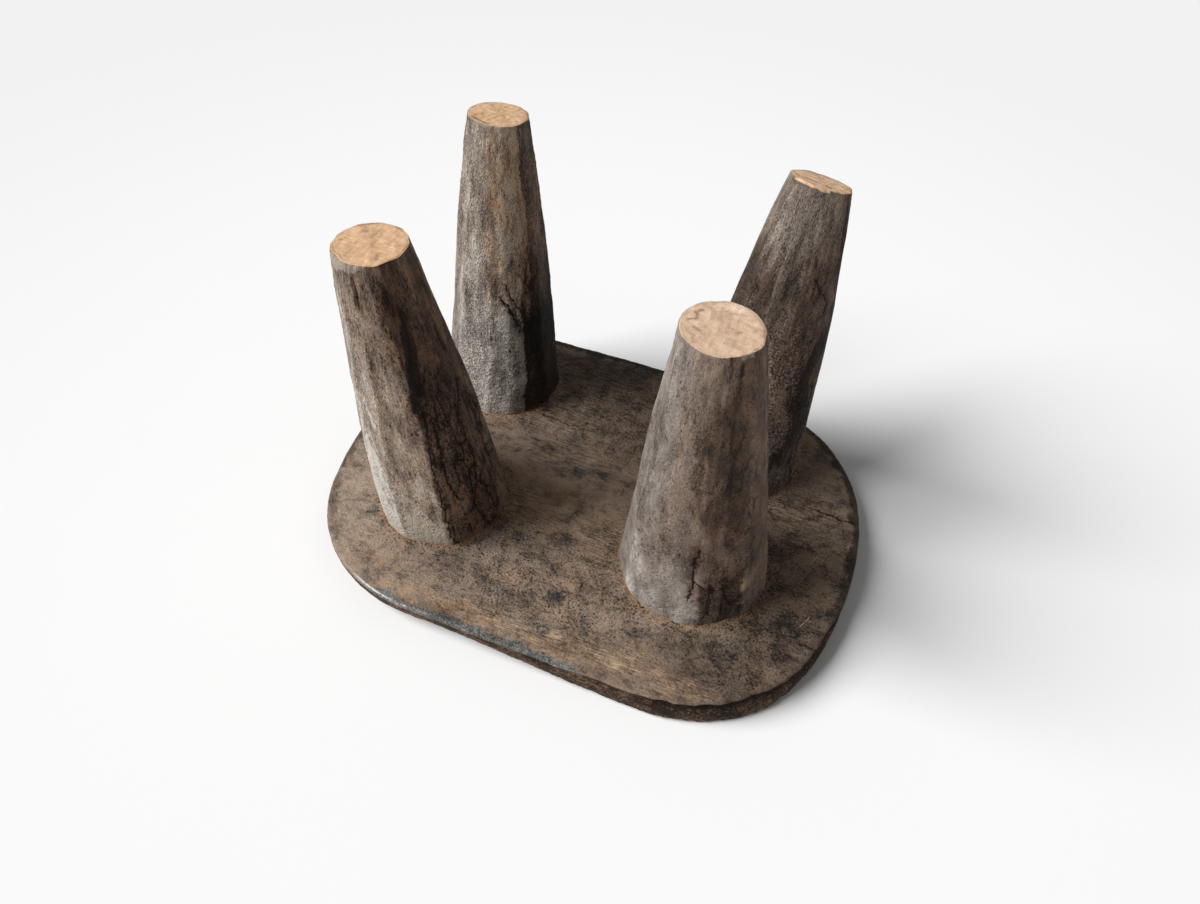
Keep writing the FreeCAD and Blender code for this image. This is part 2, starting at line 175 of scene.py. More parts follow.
# Each leg: middle and radius of its base and foot, the height and slope of its sawn foot, the angle and share
# by which the foot is thinned, how grey the sawn face is, where its arrises stand round it, its swell, how
# crisp its arrises are, and how fibrous and mottled its wood is. Marks on the side are placed by angle and
# height above the seat. A streak is a line with a width and a tone, and a patch a window of angles and
# heights: a tone below 0 darkens the wood and one above 0 bleaches it. Warm, ash, rough and crackle are
# windows with a strength, for tan, grey, torn and finely cracked wood. A crack is a line with a half width.
# A chip of the foot's rim has its middle angle, half width, depth and how fresh its wood is. Foot marks are
# lines on the sawn face, from its middle.
LEGS = {
    "leg_front_left": {
        "base": (-90, -41, 41.5), "foot": (-103, -61, 19.2), "foot_level": 217.6,
        "foot_slope": (0.03, 0.05), "foot_flat": (-55, 0.08), "foot_ash": 0.0,
        "arrises": (-150, -122, -97, -57, -12, 26, 64, 102, 140, 178),
        "swell": 1.9, "crispness": 80, "fibrous": 0.8, "mottled": 1.0, "seed": 11,
        "streaks": [
            ([(-38, 192), (-46, 172)], 7, -0.12), ([(-52, 196), (-57, 168)], 3, -0.10),
            ([(-36, 174), (-40, 160), (-44, 140), (-47, 122)], 3.4, -0.30),
            ([(-30, 170), (-33, 150)], 2.0, -0.14), ([(-50, 150), (-53, 128)], 2.0, -0.12),
            ([(-11, 136), (-13, 118)], 4, -0.14), ([(-92, 196), (-90, 172)], 2.0, -0.16),
            ([(-62, 176), (-66, 140)], 3.0, -0.10), ([(-30, 130), (-26, 96), (-28, 60)], 6, -0.08),
            ([(-22, 40), (-16, 8)], 7, -0.08), ([(-72, 120), (-76, 84)], 5, -0.10),
            ([(-70, 162), (-72, 128)], 3, -0.12), ([(-64, 96), (-66, 56)], 3, -0.12),
            ([(-88, 140), (-91, 98)], 3, -0.09), ([(-82, 74), (-84, 44)], 3, -0.09),
            ([(-66, 18), (-70, 13)], 2.5, -0.16), ([(-112, 116), (-104, 102)], 1.6, 0.28),
            ([(-118, 92), (-108, 78)], 1.4, 0.26), ([(-122, 70), (-110, 54)], 1.6, 0.30),
            ([(-124, 46), (-112, 30)], 1.6, 0.28), ([(-116, 26), (-104, 12)], 1.6, 0.24),
            ([(70, 180), (74, 130)], 5, -0.14), ([(98, 120), (94, 60)], 6, -0.12),
            ([(128, 190), (132, 150)], 4, -0.12), ([(150, 90), (154, 40)], 5, -0.16),
            ([(166, 170), (170, 110)], 4, 0.10),
        ],
        "patches": [
            ((-175, -84), (ROOT, 205), 0.17), ((-175, -70), (180, FOOT), -0.07),
            ((-96, -66), (40, 120), 0.10), ((-96, -80), (140, 162), 0.08), ((-66, -50), (ROOT, 38), 0.12),
            ((-20, 34), (160, FOOT), 0.06), ((6, 34), (ROOT, 160), 0.06), ((-84, -57), (ROOT, 170), 0.24),
            ((-68, 34), (106, 205), -0.15), ((-57, -12), (ROOT, 112), -0.06),
            ((-12, 34), (ROOT, 112), -0.11), ((-170, -88), (ROOT, 70), 0.16),
            ((-175, -92), (ROOT, 20), 0.18), ((-92, -57), (ROOT, 20), 0.47),
            ((44, 100), (ROOT, 90), -0.12), ((110, 170), (90, 205), 0.08), ((60, 130), (130, 205), -0.06),
        ],
        "warm": [
            ((-68, 20), (110, 205), 1.2), ((-57, 20), (ROOT, 120), 1.0), ((-110, -70), (150, 200), 0.9),
            ((-100, -48), (10, 145), 0.7), ((-99, -86), (168, 196), 1.7), ((90, 150), (20, 120), 0.8),
        ],
        "ash": [((-175, -100), (ROOT, 60), 0.3), ((120, 178), (ROOT, 80), 0.4)],
        "rough": [
            ((-57, 30), (ROOT, 130), 0.25), ((-175, -57), (ROOT, FOOT), 0.25),
            ((60, 130), (ROOT, 80), 0.5),
        ],
        "crackle": [((-56, 26), (ROOT, 122), 1), ((66, 124), (ROOT, 110), 1)],
        "cracks": [
            ([(-92, 192), (-90, 176)], 0.35), ([(0, 155), (1, 140)], 0.4),
            ([(-50, 112), (-49, 100), (-53, 84), (-55, 60), (-56, 30), (-57, 6)], 0.40),
            ([(12, 104), (14, 84), (12, 60), (15, 44)], 0.5), ([(88, 150), (90, 120), (87, 96)], 0.45),
            ([(140, 70), (143, 44), (139, 20)], 0.5),
            ([(-43, 105), (-42, 87), (-44, 71), (-45, 53), (-40, 36)], 0.55),
            ([(3, 118), (-2, 109), (-15, 101), (-13, 76), (-14, 61), (-22, 52), (-24, 30)], 0.55),
            ([(-11, 49), (-11, 29), (-6, 12)], 0.6),
        ],
        "chips": [(-108, 46, 2.7, 0.0)],
        "foot_marks": [
            ([(-16, 9), (-13, 11.5), (-6, 15.5)], 1.8, -0.26), ([(7, -6), (8, -9)], 0.8, -0.20),
            ([(-15, -2.5), (-14, -2)], 0.8, -0.25), ([(-8.5, 7), (-6, 8)], 0.8, -0.22),
        ],
    },
    "leg_front_right": {
        "base": (73, -31, 46.6), "foot": (65, -52, 20.4), "foot_level": 217.8,
        "foot_slope": (0, 0), "foot_flat": (0, 0.0), "foot_ash": 0.25,
        "arrises": (-164, -136, -106, -75, -32, -4, 30, 64, 98, 132, 166),
        "swell": 0.8, "crispness": 30, "fibrous": 0.3, "mottled": 0.85, "seed": 23,
        "streaks": [
            ([(-84, 142), (-89, 114)], 2.5, -0.14),
            ([(-53, 160), (-50, 132), (-45, 110), (-50, 82)], 7, -0.11),
            ([(-70, 170), (-66, 120), (-62, 60)], 9, -0.06), ([(-100, 165), (-99, 161)], 1.1, 0.22),
            ([(60, 170), (64, 120)], 6, -0.10), ([(100, 190), (96, 140)], 4, -0.12),
            ([(120, 90), (124, 40)], 7, -0.12), ([(150, 160), (148, 100)], 5, 0.08),
            ([(-64, 200), (-63, 190)], 1.6, -0.22), ([(-48, 200), (-47, 190)], 1.6, -0.22),
            ([(-119, 26), (-118, 16)], 5, -0.14), ([(-110, 48), (-109, 40)], 4, -0.10),
            ([(-96, 30), (-92, 18)], 4, -0.10), ([(-78, 66), (-79, 30)], 3.5, -0.16),
            ([(-48, 36), (-44, 14)], 6, -0.16), ([(-31, 60), (-30, 10)], 2.0, 0.08),
        ],
        "patches": [
            ((-70, -36), (ROOT, 46), -0.18), ((-66, 40), (40, FOOT), -0.17),
            ((-92, -64), (60, 180), -0.08), ((-180, -92), (50, FOOT), -0.05),
            ((-140, -72), (ROOT, 50), 0.18), ((-175, -141), (ROOT, FOOT), 0.12),
            ((-140, -40), (ROOT, 14), 0.08), ((-66, -54), (ROOT, 200), 0.08),
            ((-170, -40), (182, FOOT), 0.06), ((-100, -30), (80, 140), -0.04),
            ((80, 150), (ROOT, 60), -0.10), ((40, 90), (120, FOOT), 0.05),
        ],
        "warm": [
            ((-116, 60), (20, FOOT), 0.4), ((-86, 60), (20, FOOT), 0.8), ((70, 140), (60, 190), 0.8),
        ],
        "ash": [((-175, -76), (ROOT, 70), 0.5), ((-175, -110), (60, FOOT), 0.4)],
        "rough": [((-70, -36), (-10, 50), 0.3), ((60, 120), (-10, 70), 0.5)],
        "crackle": [((-74, -34), (-10, 60), 1), ((80, 140), (-10, 90), 1)],
        "cracks": [
            ([(-74, 71), (-79, 58), (-77, 40), (-80, 26)], 0.5), ([(-77, 44), (-70, 36)], 0.35),
            ([(-62, 24), (-66, 5)], 0.4), ([(-52, 32), (-46, 16)], 0.5),
            ([(106, 80), (104, 54), (108, 30)], 0.45), ([(48, 188), (50, 164)], 0.4),
        ],
        "chips": [(-40, 18, 0.9, 0.0), (70, 26, 1.2, 0.0)],
        "foot_marks": [
            ([(-14, 6), (-11.5, 8.5)], 0.9, -0.40), ([(-16, -0.5), (-12.5, 1.5), (-13, 5)], 0.7, -0.30),
            ([(-12.5, -4), (-9, -5.5)], 0.8, -0.25), ([(0, 15.5), (6, 14.5)], 3.0, 0.22),
            ([(1, 11.5), (7, 12.5)], 0.9, -0.20), ([(7, 0), (8, 0.5)], 0.9, -0.25),
        ],
    },
    "leg_back_right": {
        "base": (74, 68, 43.2), "foot": (82, 93, 17.6), "foot_level": 214.2,
        "foot_slope": (-0.10, -0.28), "foot_flat": (90, 0.08), "foot_ash": 0.08,
        "arrises": (-135, -104, -70, -39, -14, 20, 56, 92, 128, 164, 196),
        "swell": 3.2, "crispness": 60, "fibrous": 0.35, "mottled": 0.75, "seed": 37,
        "streaks": [
            ([(-27, 112), (-37, 95), (-41, 85), (-36, 66), (-39, 46), (-46, 26)], 6, -0.34),
            ([(-22, 60), (-26, 20)], 4, -0.16), ([(-100, 195), (-104, 160)], 12, 0.10),
            ([(-60, 190), (-66, 160)], 6, 0.05), ([(-18, 200), (-14, 120)], 1.6, -0.16),
            ([(76, 180), (80, 120)], 6, -0.12), ([(112, 120), (108, 60)], 5, -0.14),
            ([(148, 170), (152, 120)], 4, 0.10), ([(164, 80), (160, 30)], 6, -0.14),
        ],
        "patches": [
            ((-180, 60), (ROOT, 165), -0.17), ((-180, 60), (150, FOOT), -0.10),
            ((-110, -40), (ROOT, 110), 0.06), ((-185, -118), (150, FOOT), 0.14),
            ((-110, -66), (100, 156), -0.04), ((-22, 12), (40, FOOT), -0.12),
            ((-68, -38), (-10, 100), 0.06), ((-52, -20), (178, 205), 0.08),
            ((64, 130), (ROOT, 90), -0.10), ((120, 176), (90, FOOT), 0.06),
        ],
        "warm": [
            ((-140, -112), (135, 155), 1.0), ((-80, 0), (60, 170), 0.6), ((-60, -20), (170, 200), 0.7),
            ((90, 150), (40, 150), 0.8),
        ],
        "ash": [((-140, -60), (150, FOOT), 0.25)],
        "rough": [
            ((-84, -44), (28, 118), 0.8), ((-44, 10), (ROOT, 80), 0.5), ((-150, -84), (ROOT, 130), 0.5),
            ((-150, 10), (160, FOOT), 0.3), ((80, 140), (ROOT, 90), 0.5),
        ],
        "crackle": [((-60, -10), (ROOT, 110), 1), ((90, 150), (ROOT, 120), 1)],
        "cracks": [
            ([(-54, 152), (-43, 144), (-31, 138), (-33, 130)], 0.35),
            ([(124, 100), (121, 70), (125, 44)], 0.5), ([(66, 60), (69, 34)], 0.4),
        ],
        "chips": [(-104, 56, 0.7, 1.0)],
        "foot_marks": [
            ([(-16, 1), (-9, -4), (0, -5), (6, -8)], 0.9, -0.30),
            ([(-14, 10), (0, 15), (12, 12)], 1.2, -0.20),
        ],
    },
    "leg_back_left": {
        "base": (-100, 74, 39.6), "foot": (-102, 79, 18.0), "foot_level": 216.2,
        "foot_slope": (-0.01, -0.10), "foot_flat": (0, 0.0), "foot_ash": 0.0,
        "arrises": (-170, -140, -112, -83, -60, -43, -18, 14, 50, 86, 122, 158),
        "swell": 1.8, "crispness": 90, "fibrous": 0.5, "mottled": 1.0, "seed": 53,
        "streaks": [
            ([(-80, 150), (-78, 110)], 5, -0.12), ([(-94, 52), (-92, 46)], 1.2, 0.40),
            ([(-84, 78), (-78, 74), (-78, 66), (-83, 62)], 1.2, -0.16),
            ([(-20, 188), (-20, 185)], 1.1, 0.30), ([(-21, 179), (-21, 177)], 1.0, 0.26),
            ([(-62, 190), (-66, 150)], 3, -0.12), ([(-100, 180), (-98, 130)], 4, -0.10),
            ([(-97, 112), (-94, 84)], 4, -0.14), ([(-112, 98), (-109, 66)], 3, -0.14),
            ([(-84, 124), (-81, 98)], 3, -0.12), ([(-70, 130), (-72, 104)], 4, -0.12),
            ([(-86, 58), (-85, 30)], 3, -0.10), ([(70, 190), (74, 130)], 5, -0.14),
            ([(104, 130), (100, 70)], 6, -0.12), ([(140, 170), (142, 110)], 4, 0.10),
            ([(150, 80), (146, 30)], 5, -0.16),
        ],
        "patches": [
            ((-175, -60), (ROOT, 205), 0.18), ((-66, -30), (96, FOOT), 0.24),
            ((-60, -43), (ROOT, 80), 0.08), ((-43, 16), (ROOT, 84), -0.39), ((-43, 30), (50, 118), -0.18),
            ((-30, 40), (ROOT, FOOT), -0.09), ((-112, -60), (ROOT, 84), 0.11),
            ((-175, -126), (ROOT, FOOT), -0.16), ((-126, -112), (104, FOOT), -0.06),
            ((-112, -66), (96, 165), 0.08), ((-84, -52), (100, 164), 0.06),
            ((-114, -97), (ROOT, 120), 0.08), ((-84, -46), (ROOT, 40), 0.08),
            ((-82, -68), (60, 84), -0.08), ((-26, 10), (80, 200), 0.05), ((10, 40), (120, FOOT), -0.14),
            ((60, 120), (ROOT, 80), -0.14), ((110, 170), (110, FOOT), 0.08),
        ],
        "warm": [((-86, -24), (84, FOOT), 1.4), ((-30, 40), (80, 180), 1.0), ((80, 150), (40, 150), 0.8)],
        "ash": [((-175, -40), (ROOT, 104), 0.5), ((-175, -96), (90, FOOT), 0.1)],
        "rough": [
            ((-120, -43), (ROOT, 112), 0.65), ((-43, 20), (ROOT, 100), 0.3),
            ((-175, 40), (100, FOOT), 0.40), ((80, 140), (ROOT, 100), 0.5),
        ],
        "crackle": [((-54, -20), (40, 110), 1), ((80, 130), (ROOT, 110), 1)],
        "cracks": [
            ([(-67, 94), (-61, 89), (-56, 82), (-47, 72)], 0.9),
            ([(-60, 103), (-55, 92), (-46, 84)], 0.6), ([(118, 110), (116, 84), (120, 50)], 0.5),
            ([(66, 170), (68, 146)], 0.4),
        ],
        "chips": [(-70, 46, 0.5, 0.0)],
        "foot_marks": [
            ([(-11, -11), (-5, -13.5), (1, -15)], 0.8, -0.35), ([(-11, -9.5), (-8, -4)], 0.8, -0.20),
        ],
    },
}

# Small bluish stains on the seat's underside: middle, and half sizes along X and Y.
SEAT_STAINS = [
    ((-20, -66), (10, 6)), ((-4, -46), (6, 5)), ((-46, -50), (9, 5)), ((-31, -92), (13, 5)),
    ((-12, -94), (8, 5)), ((3, -85), (7, 4)), ((17, -61), (7, 7)), ((22, -99), (9, 4)),
    ((-63, -86), (10, 5)), ((0, 12), (11, 5)), ((96, -80), (9, 5)), ((114, -78), (12, 8)),
    ((60, -92), (10, 5)), ((-110, -74), (12, 6)), ((-146, -30), (8, 12)),
]

# Broad dark and pale places on the seat's underside: middle, half sizes along X and Y, and tone. Among them
# are painted light, which lightens the seat's end nearest the key light, and painted shadow, which darkens
# the seat where the front left leg's shadow falls.
SEAT_MARKS_AND_PAINTED_LIGHT = [
    ((-30, 112), (84, 19), -0.26), ((-64, 106), (20, 12), 0.08), ((-18, 98), (30, 10), -0.05),
    ((-44, 84), (24, 10), -0.12), ((128, -34), (24, 40), -0.12), ((120, -12), (26, 10), 0.08),
    ((116, -74), (26, 16), -0.07), ((-50, -92), (26, 14), -0.05), ((-24, -12), (52, 10), 0.05),
    ((34, -38), (8, 18), 0.06), ((0, -119), (40, 6), 0.10), ((132, 26), (18, 16), -0.05),
    ((-84, 4), (14, 10), -0.06), ((140, 60), (26, 40), -0.08), ((110, -96), (44, 22), -0.12),
    # Painted shadow: the place at (-60, 20) darkens the seat where the front left leg's shadow falls.
    ((10, 60), (50, 40), -0.19), ((-60, 20), (40, 30), -0.12), ((-11, -36), (34, 22), 0.07),
    # Painted light: the place at (-140, -60) lightens the seat's end nearest the key light.
    ((-140, -60), (30, 60), 0.14), ((-92, -104), (56, 18), 0.06), ((112, -85), (40, 24), -0.05),
    ((-92, -112), (34, 6), 0.06), ((-10, -112), (40, 5), 0.10), ((74, -113), (44, 5), 0.18),
    ((10, -20), (34, 16), 0.09), ((136, 30), (12, 8), 0.06), ((117, -110), (30, 13), -0.13),
    ((151, -66), (18, 34), -0.17), ((134, -61), (18, 14), -0.07),
]

# Where the seat is rubbed to a tan, or greyer below 0: middle, half sizes along X and Y, and strength.
SEAT_RUBBED = [
    ((-135, -66), (36, 50), -0.35), ((-84, -96), (50, 20), -0.20), ((-112, -100), (14, 5), 0.6),
    ((-84, -112), (14, 4), 0.8), ((-52, -116), (12, 4), 1.0), ((-30, -114), (22, 5), 0.8),
    ((14, -116), (30, 6), 0.8), ((84, -113), (34, 6), 0.8), ((136, 30), (14, 9), 0.6),
    ((-24, -26), (56, 24), 0.35),
]

# Where the seat's fibres are torn up: middle, and half sizes along X and Y.
SEAT_FIBRES = [
    ((-60, 60), (46, 26)), ((74, -113), (50, 8)), ((-140, 20), (26, 46)), ((-60, 100), (60, 16)),
    ((126, 30), (30, 26)), ((-30, 20), (40, 14)), ((0, -112), (60, 8)), ((-40, -30), (20, 20)),
    ((18, -40), (14, 24)),
]

# Where the seat's surface is pitted and crumbly: middle, and half sizes along X and Y.
SEAT_PITTED = [((-4, -70), (84, 46)), ((120, -20), (50, 84)), ((0, 84), (110, 50))]
SEAT_CRACKS = [
    ([(136, 39.5), (150, 38), (172, 36.6)], 0.7), ([(120, 6), (132, 4)], 0.4),
    ([(-60, 50), (-30, 47)], 0.4), ([(-120, 92), (-84, 90)], 0.4), ([(20, 98), (52, 101)], 0.4),
]
SEAT_SCRATCHES = [
    ([(141, -4), (144, 3)], 0.22), ([(146, -2), (148, 2)], 0.18), ([(144, -51), (148, -43)], 0.20),
]


def paint(code):
    """A colour written as six hexadecimal digits, as the linear light that shaders use."""
    shares = [int(code[place:place + 2], 16) / 255 for place in (0, 2, 4)]
    return tuple(s / 12.92 if s <= 0.04045 else ((s + 0.055) / 1.055) ** 2.4 for s in shares) + (1.0,)


def ripple(places, cell, seed, waves=26):
    """Smooth unevenness of spread about 1: sine waves of random direction and phase, added up.

    A cell is the length along X, Y and Z over which the surface rises and falls once.
    """
    random = np.random.default_rng(seed)
    directions = random.normal(size=(3, waves))
    phases = random.uniform(0, 2 * np.pi, waves)
    turns = (places / np.asarray(cell)) @ directions
    return np.sin(turns * 2 * np.pi / math.sqrt(3) + phases).sum(axis=-1) * math.sqrt(2 / waves)


def relief(places, layers, seed=0, start=0.0):
    """Layers of unevenness added to a start, which is one value or one for each place."""
    return sum((depth * ripple(places, cell, seed + step) for depth, cell, step in layers), start)


def ease(value, low, high):
    """0 below low, 1 above high and a smooth S between them."""
    share = np.clip((value - low) / (high - low), 0, 1)
    return share * share * (3 - 2 * share)


def at_height(places, height):
    """Places on the level, raised to one height or to one for each place."""
    levels = np.broadcast_to(height, places.shape[:-1])
    return np.concatenate([places, levels[..., None]], axis=-1)


def turned(angle):
    """An angle in degrees brought between -180 and 180."""
    return (angle + 180) % 360 - 180


def line_offset(across, along, line):
    """Distance to a drawn line's nearest straight run, above 0 on its one side and below 0 on its other."""
    offset = np.full(across.shape, np.inf)
    for (start_across, start_along), (end_across, end_along) in zip(line, line[1:]):
        run = end_across - start_across
        rise = end_along - start_along
        away = across - start_across
        climb = along - start_along
        share = np.clip((away * run + climb * rise) / (run**2 + rise**2), 0, 1)
        distance = np.hypot(away - share * run, climb - share * rise)
        side = np.where(run * climb < rise * away, -1, 1)
        offset = np.where(distance < np.abs(offset), side * distance, offset)
    return offset


def side_offset(angle, height, line):
    """Offset from a line drawn on a leg's side by angle and height, on the side unrolled at one radius."""
    unrolled = np.radians(turned(angle - line[0][0])) * GRAIN_RADIUS
    points = [(math.radians(turned(a - line[0][0])) * GRAIN_RADIUS, h) for a, h in line]
    return line_offset(unrolled, height, points)


def nearness(offset, width):
    """1 on a line and 0 well beyond its width, as a bell curve of the offset from it."""
    return np.exp(-((offset / width) ** 2))


def line_masks(label, lines, across, along, offset_from=line_offset):
    """Offset from the nearest of some thin lines, and masks of it as a share of the line's half width."""
    offsets = np.stack([offset_from(across, along, line) for line, _ in lines])
    half_widths = np.array([half_width for _, half_width in lines])
    nearest = np.argmin(np.abs(offsets), axis=0)
    offset = np.take_along_axis(offsets, nearest[None], axis=0)[0]
    shares = np.clip(offset / half_widths[nearest], -LINE_SHARES, LINE_SHARES)
    return offset, {f"{label}_share": shares, label: nearness(offset, 1.0)}


def window(angle, height, angles, heights, angle_soft, height_soft):
    """1 inside a range of angles and heights, with soft ends."""
    middle = (angles[0] + angles[1]) / 2
    reach = (angles[1] - angles[0]) / 2
    aside = np.abs(turned(angle - middle))
    inside = 1 - ease(aside, reach - angle_soft, reach + angle_soft)
    above = ease(height, heights[0] - height_soft, heights[0] + height_soft)
    below = 1 - ease(height, heights[1] - height_soft, heights[1] + height_soft)
    return inside * above * below


def faceted_section(leg, angle, share):
    """Radius of a leg's section, its facet's tone and the way to its nearest arris, at an angle and height.

    The arrises lie on a circle that tapers from base to foot and swells between. A facet stands between
    two arrises, as far from the axis as the circle's radius times the cosine of half its angle. The
    section is the facets' common inside, with corners rounded by a power mean of high power, lower towards
    the handled foot. Each arris wanders a little up the leg, as a hand-held blade does.
    """
    base_radius = leg["base"][2]
    foot_radius = leg["foot"][2]
    circle = base_radius + (foot_radius - base_radius) * share + 4 * leg["swell"] * share * (1 - share)
    arrises = np.array(leg["arrises"], float)
    random = np.random.default_rng(leg["seed"])
    phases = random.uniform(0, 2 * np.pi, (3, len(arrises)))
    rise = share[..., None]
    wander = sum(size * np.sin(pace * rise + phase) for (size, pace), phase in zip(ARRIS_WAVES, phases))
    corners = arrises + wander * ease(rise, *WANDER_START)
    following = np.roll(corners, -1, axis=-1)
    halves = np.radians(turned(following - corners)) / 2
    facings = np.radians(corners) + halves
    cut = 1 + FACET_DEPTH * np.sin(FACET_PACE * rise + 2 * phases[1])
    distances = np.cos(halves) * cut
    turn = np.radians(angle)[..., None] - facings
    facing_share = np.clip(np.cos(turn), 0, None) / distances
    power = leg["crispness"] + (FOOT_CRISPNESS - leg["crispness"]) * ease(share, *FOOT_ROUNDED)
    radius = circle * (facing_share ** power[..., None]).sum(axis=-1) ** (-1 / power)
    thin_angle, thinned = leg["foot_flat"]
    thinned = thinned * ease(share, *FOOT_THINNED)
    radius = radius * (1 - thinned * np.cos(np.radians(angle - thin_angle)) ** 2)
    shades = np.sin(TONE_PACE * rise + phases[2])
    facet_tone = np.take_along_axis(shades, np.argmax(facing_share, axis=-1)[..., None], axis=-1)[..., 0]
    arris_gap = circle * np.radians(np.abs(turned(angle[..., None] - corners)).min(axis=-1))
    return radius, facet_tone, arris_gap


def foot_wear(leg, angle, ring):
    """Depth of wear round a foot's rim, slight but for its chips, and how fresh the chips are."""
    wear = relief(ring, FOOT_WEAR, leg["seed"], EVEN_WEAR)
    fresh = np.zeros(angle.shape)
    for middle, half, depth, freshness in leg["chips"]:
        inside = 1 - ease(np.abs(turned(angle - middle)), CHIP_CORE * half, half)
        wear = wear + depth * inside * relief(ring, CHIP_WEAR, leg["seed"], 1.0)
        fresh = np.maximum(fresh, freshness * inside)
    return np.clip(wear, LEAST_WEAR, None), fresh


def grain_at(ring, level, share=1.0):
    """Grain coordinates round a leg: the angle at one radius, or a share of it, and the height."""
    grain = GRAIN_RADIUS * ring * np.broadcast_to(share, level.shape)[..., None]
    grain[..., 2] = level
    return grain


def leg_side(leg, angle, ring, wear):
    """Rows of a leg's side, from its root in the seat up to the lower edge of the foot's worn rim.

    The axis runs straight from base to foot and the sections are level. Relief on the facets is low: broad
    strokes of the blade, a ripple along the grain, scales where the wood has torn, and cracks cut along
    drawn lines with a jagged run.
    """
    slope = leg["foot_slope"]
    foot_radius = leg["foot"][2]
    seed = leg["seed"]
    plane = leg["foot_level"] + foot_radius * (slope[0] * ring[:, 0] + slope[1] * ring[:, 1])
    root = SEAT_TOP - LEG_ROOT
    shares = np.linspace(0, 1, SIDE_ROWS)[:, None]
    level = root + shares * (plane - WEAR_DOWN * wear - root)
    rise = (level - SEAT_TOP) / (LEG_TOP - SEAT_TOP)
    height = level - SEAT_TOP
    angles = np.broadcast_to(angle, level.shape)
    radius, facet_tone, arris_gap = faceted_section(leg, angles, rise)

    grain = grain_at(ring, level)
    marks = leg_marks(leg, angles, height, grain)
    marks["tone"] += FACET_TONE * facet_tone
    marks["arris"] = nearness(arris_gap, ARRIS_WIDTH)
    strokes = relief(grain, BLADE_STROKES, seed)
    grit = ripple(grain, (3.0, 3.0, 4.0), seed + 4)
    scales = ripple(grain, (8, 8, 3.2), seed + 5)
    torn = marks["rough"] * (TORN_GRIT_DEPTH * grit + TORN_SCALE_DEPTH * scales)
    radius = radius + strokes + GRIT_DEPTH * grit + torn - LEG_CRACK_DEPTH * marks["crack"]

    base = np.array(leg["base"][:2], float)
    foot = np.array(leg["foot"][:2], float)
    middle = base + (foot - base) * rise[..., None]
    side = at_height(middle + radius[..., None] * ring[:, :2], level)
    return side, middle[-1], grain, marks


def leg_marks(leg, angle, height, grain):
    """Masks of a leg's side from its drawn marks, with edges frayed along the grain."""
    seed = leg["seed"]
    fray_angle = relief(grain, LEG_FRAY_ANGLE, seed, angle)
    fray_height = relief(grain, LEG_FRAY_HEIGHT, seed, height)
    tone = np.zeros(height.shape)
    for line, width, strength in leg["streaks"]:
        tone += strength * nearness(side_offset(fray_angle, fray_height, line), width)
    windows = {kind: [] for kind in WINDOW_ENDS}
    for kind, ends in WINDOW_ENDS.items():
        for angles, heights, strength in leg[kind]:
            windows[kind].append(strength * window(fray_angle, fray_height, angles, heights, *ends))
    for patch_tone in windows.pop("patches"):
        tone += patch_tone
    jag_angle = relief(grain, LEG_JAG_ANGLE, seed, angle)
    jag_height = relief(grain, LEG_JAG_HEIGHT, seed, height)
    crack_offset, cracks = line_masks("crack", leg["cracks"], jag_angle, jag_height, side_offset)
    return {
        **cracks,
        "tone": tone - CRACK_SHADE * nearness(crack_offset, CRACK_SHADE_WIDTH),
        **{kind: np.maximum.reduce(shares) for kind, shares in windows.items()},
        "fringe": 1 - ease(height, *LEG_FRINGE),
        "fibrous": np.full(height.shape, leg["fibrous"]),
        "mottled": np.full(height.shape, leg["mottled"]),
    }


def leg_rows(shapes, *values):
    """A mask's rows up the side, over the rim and across the foot, each given as an array or one value."""
    return np.concatenate([np.broadcast_to(value, shape) for value, shape in zip(values, shapes)])


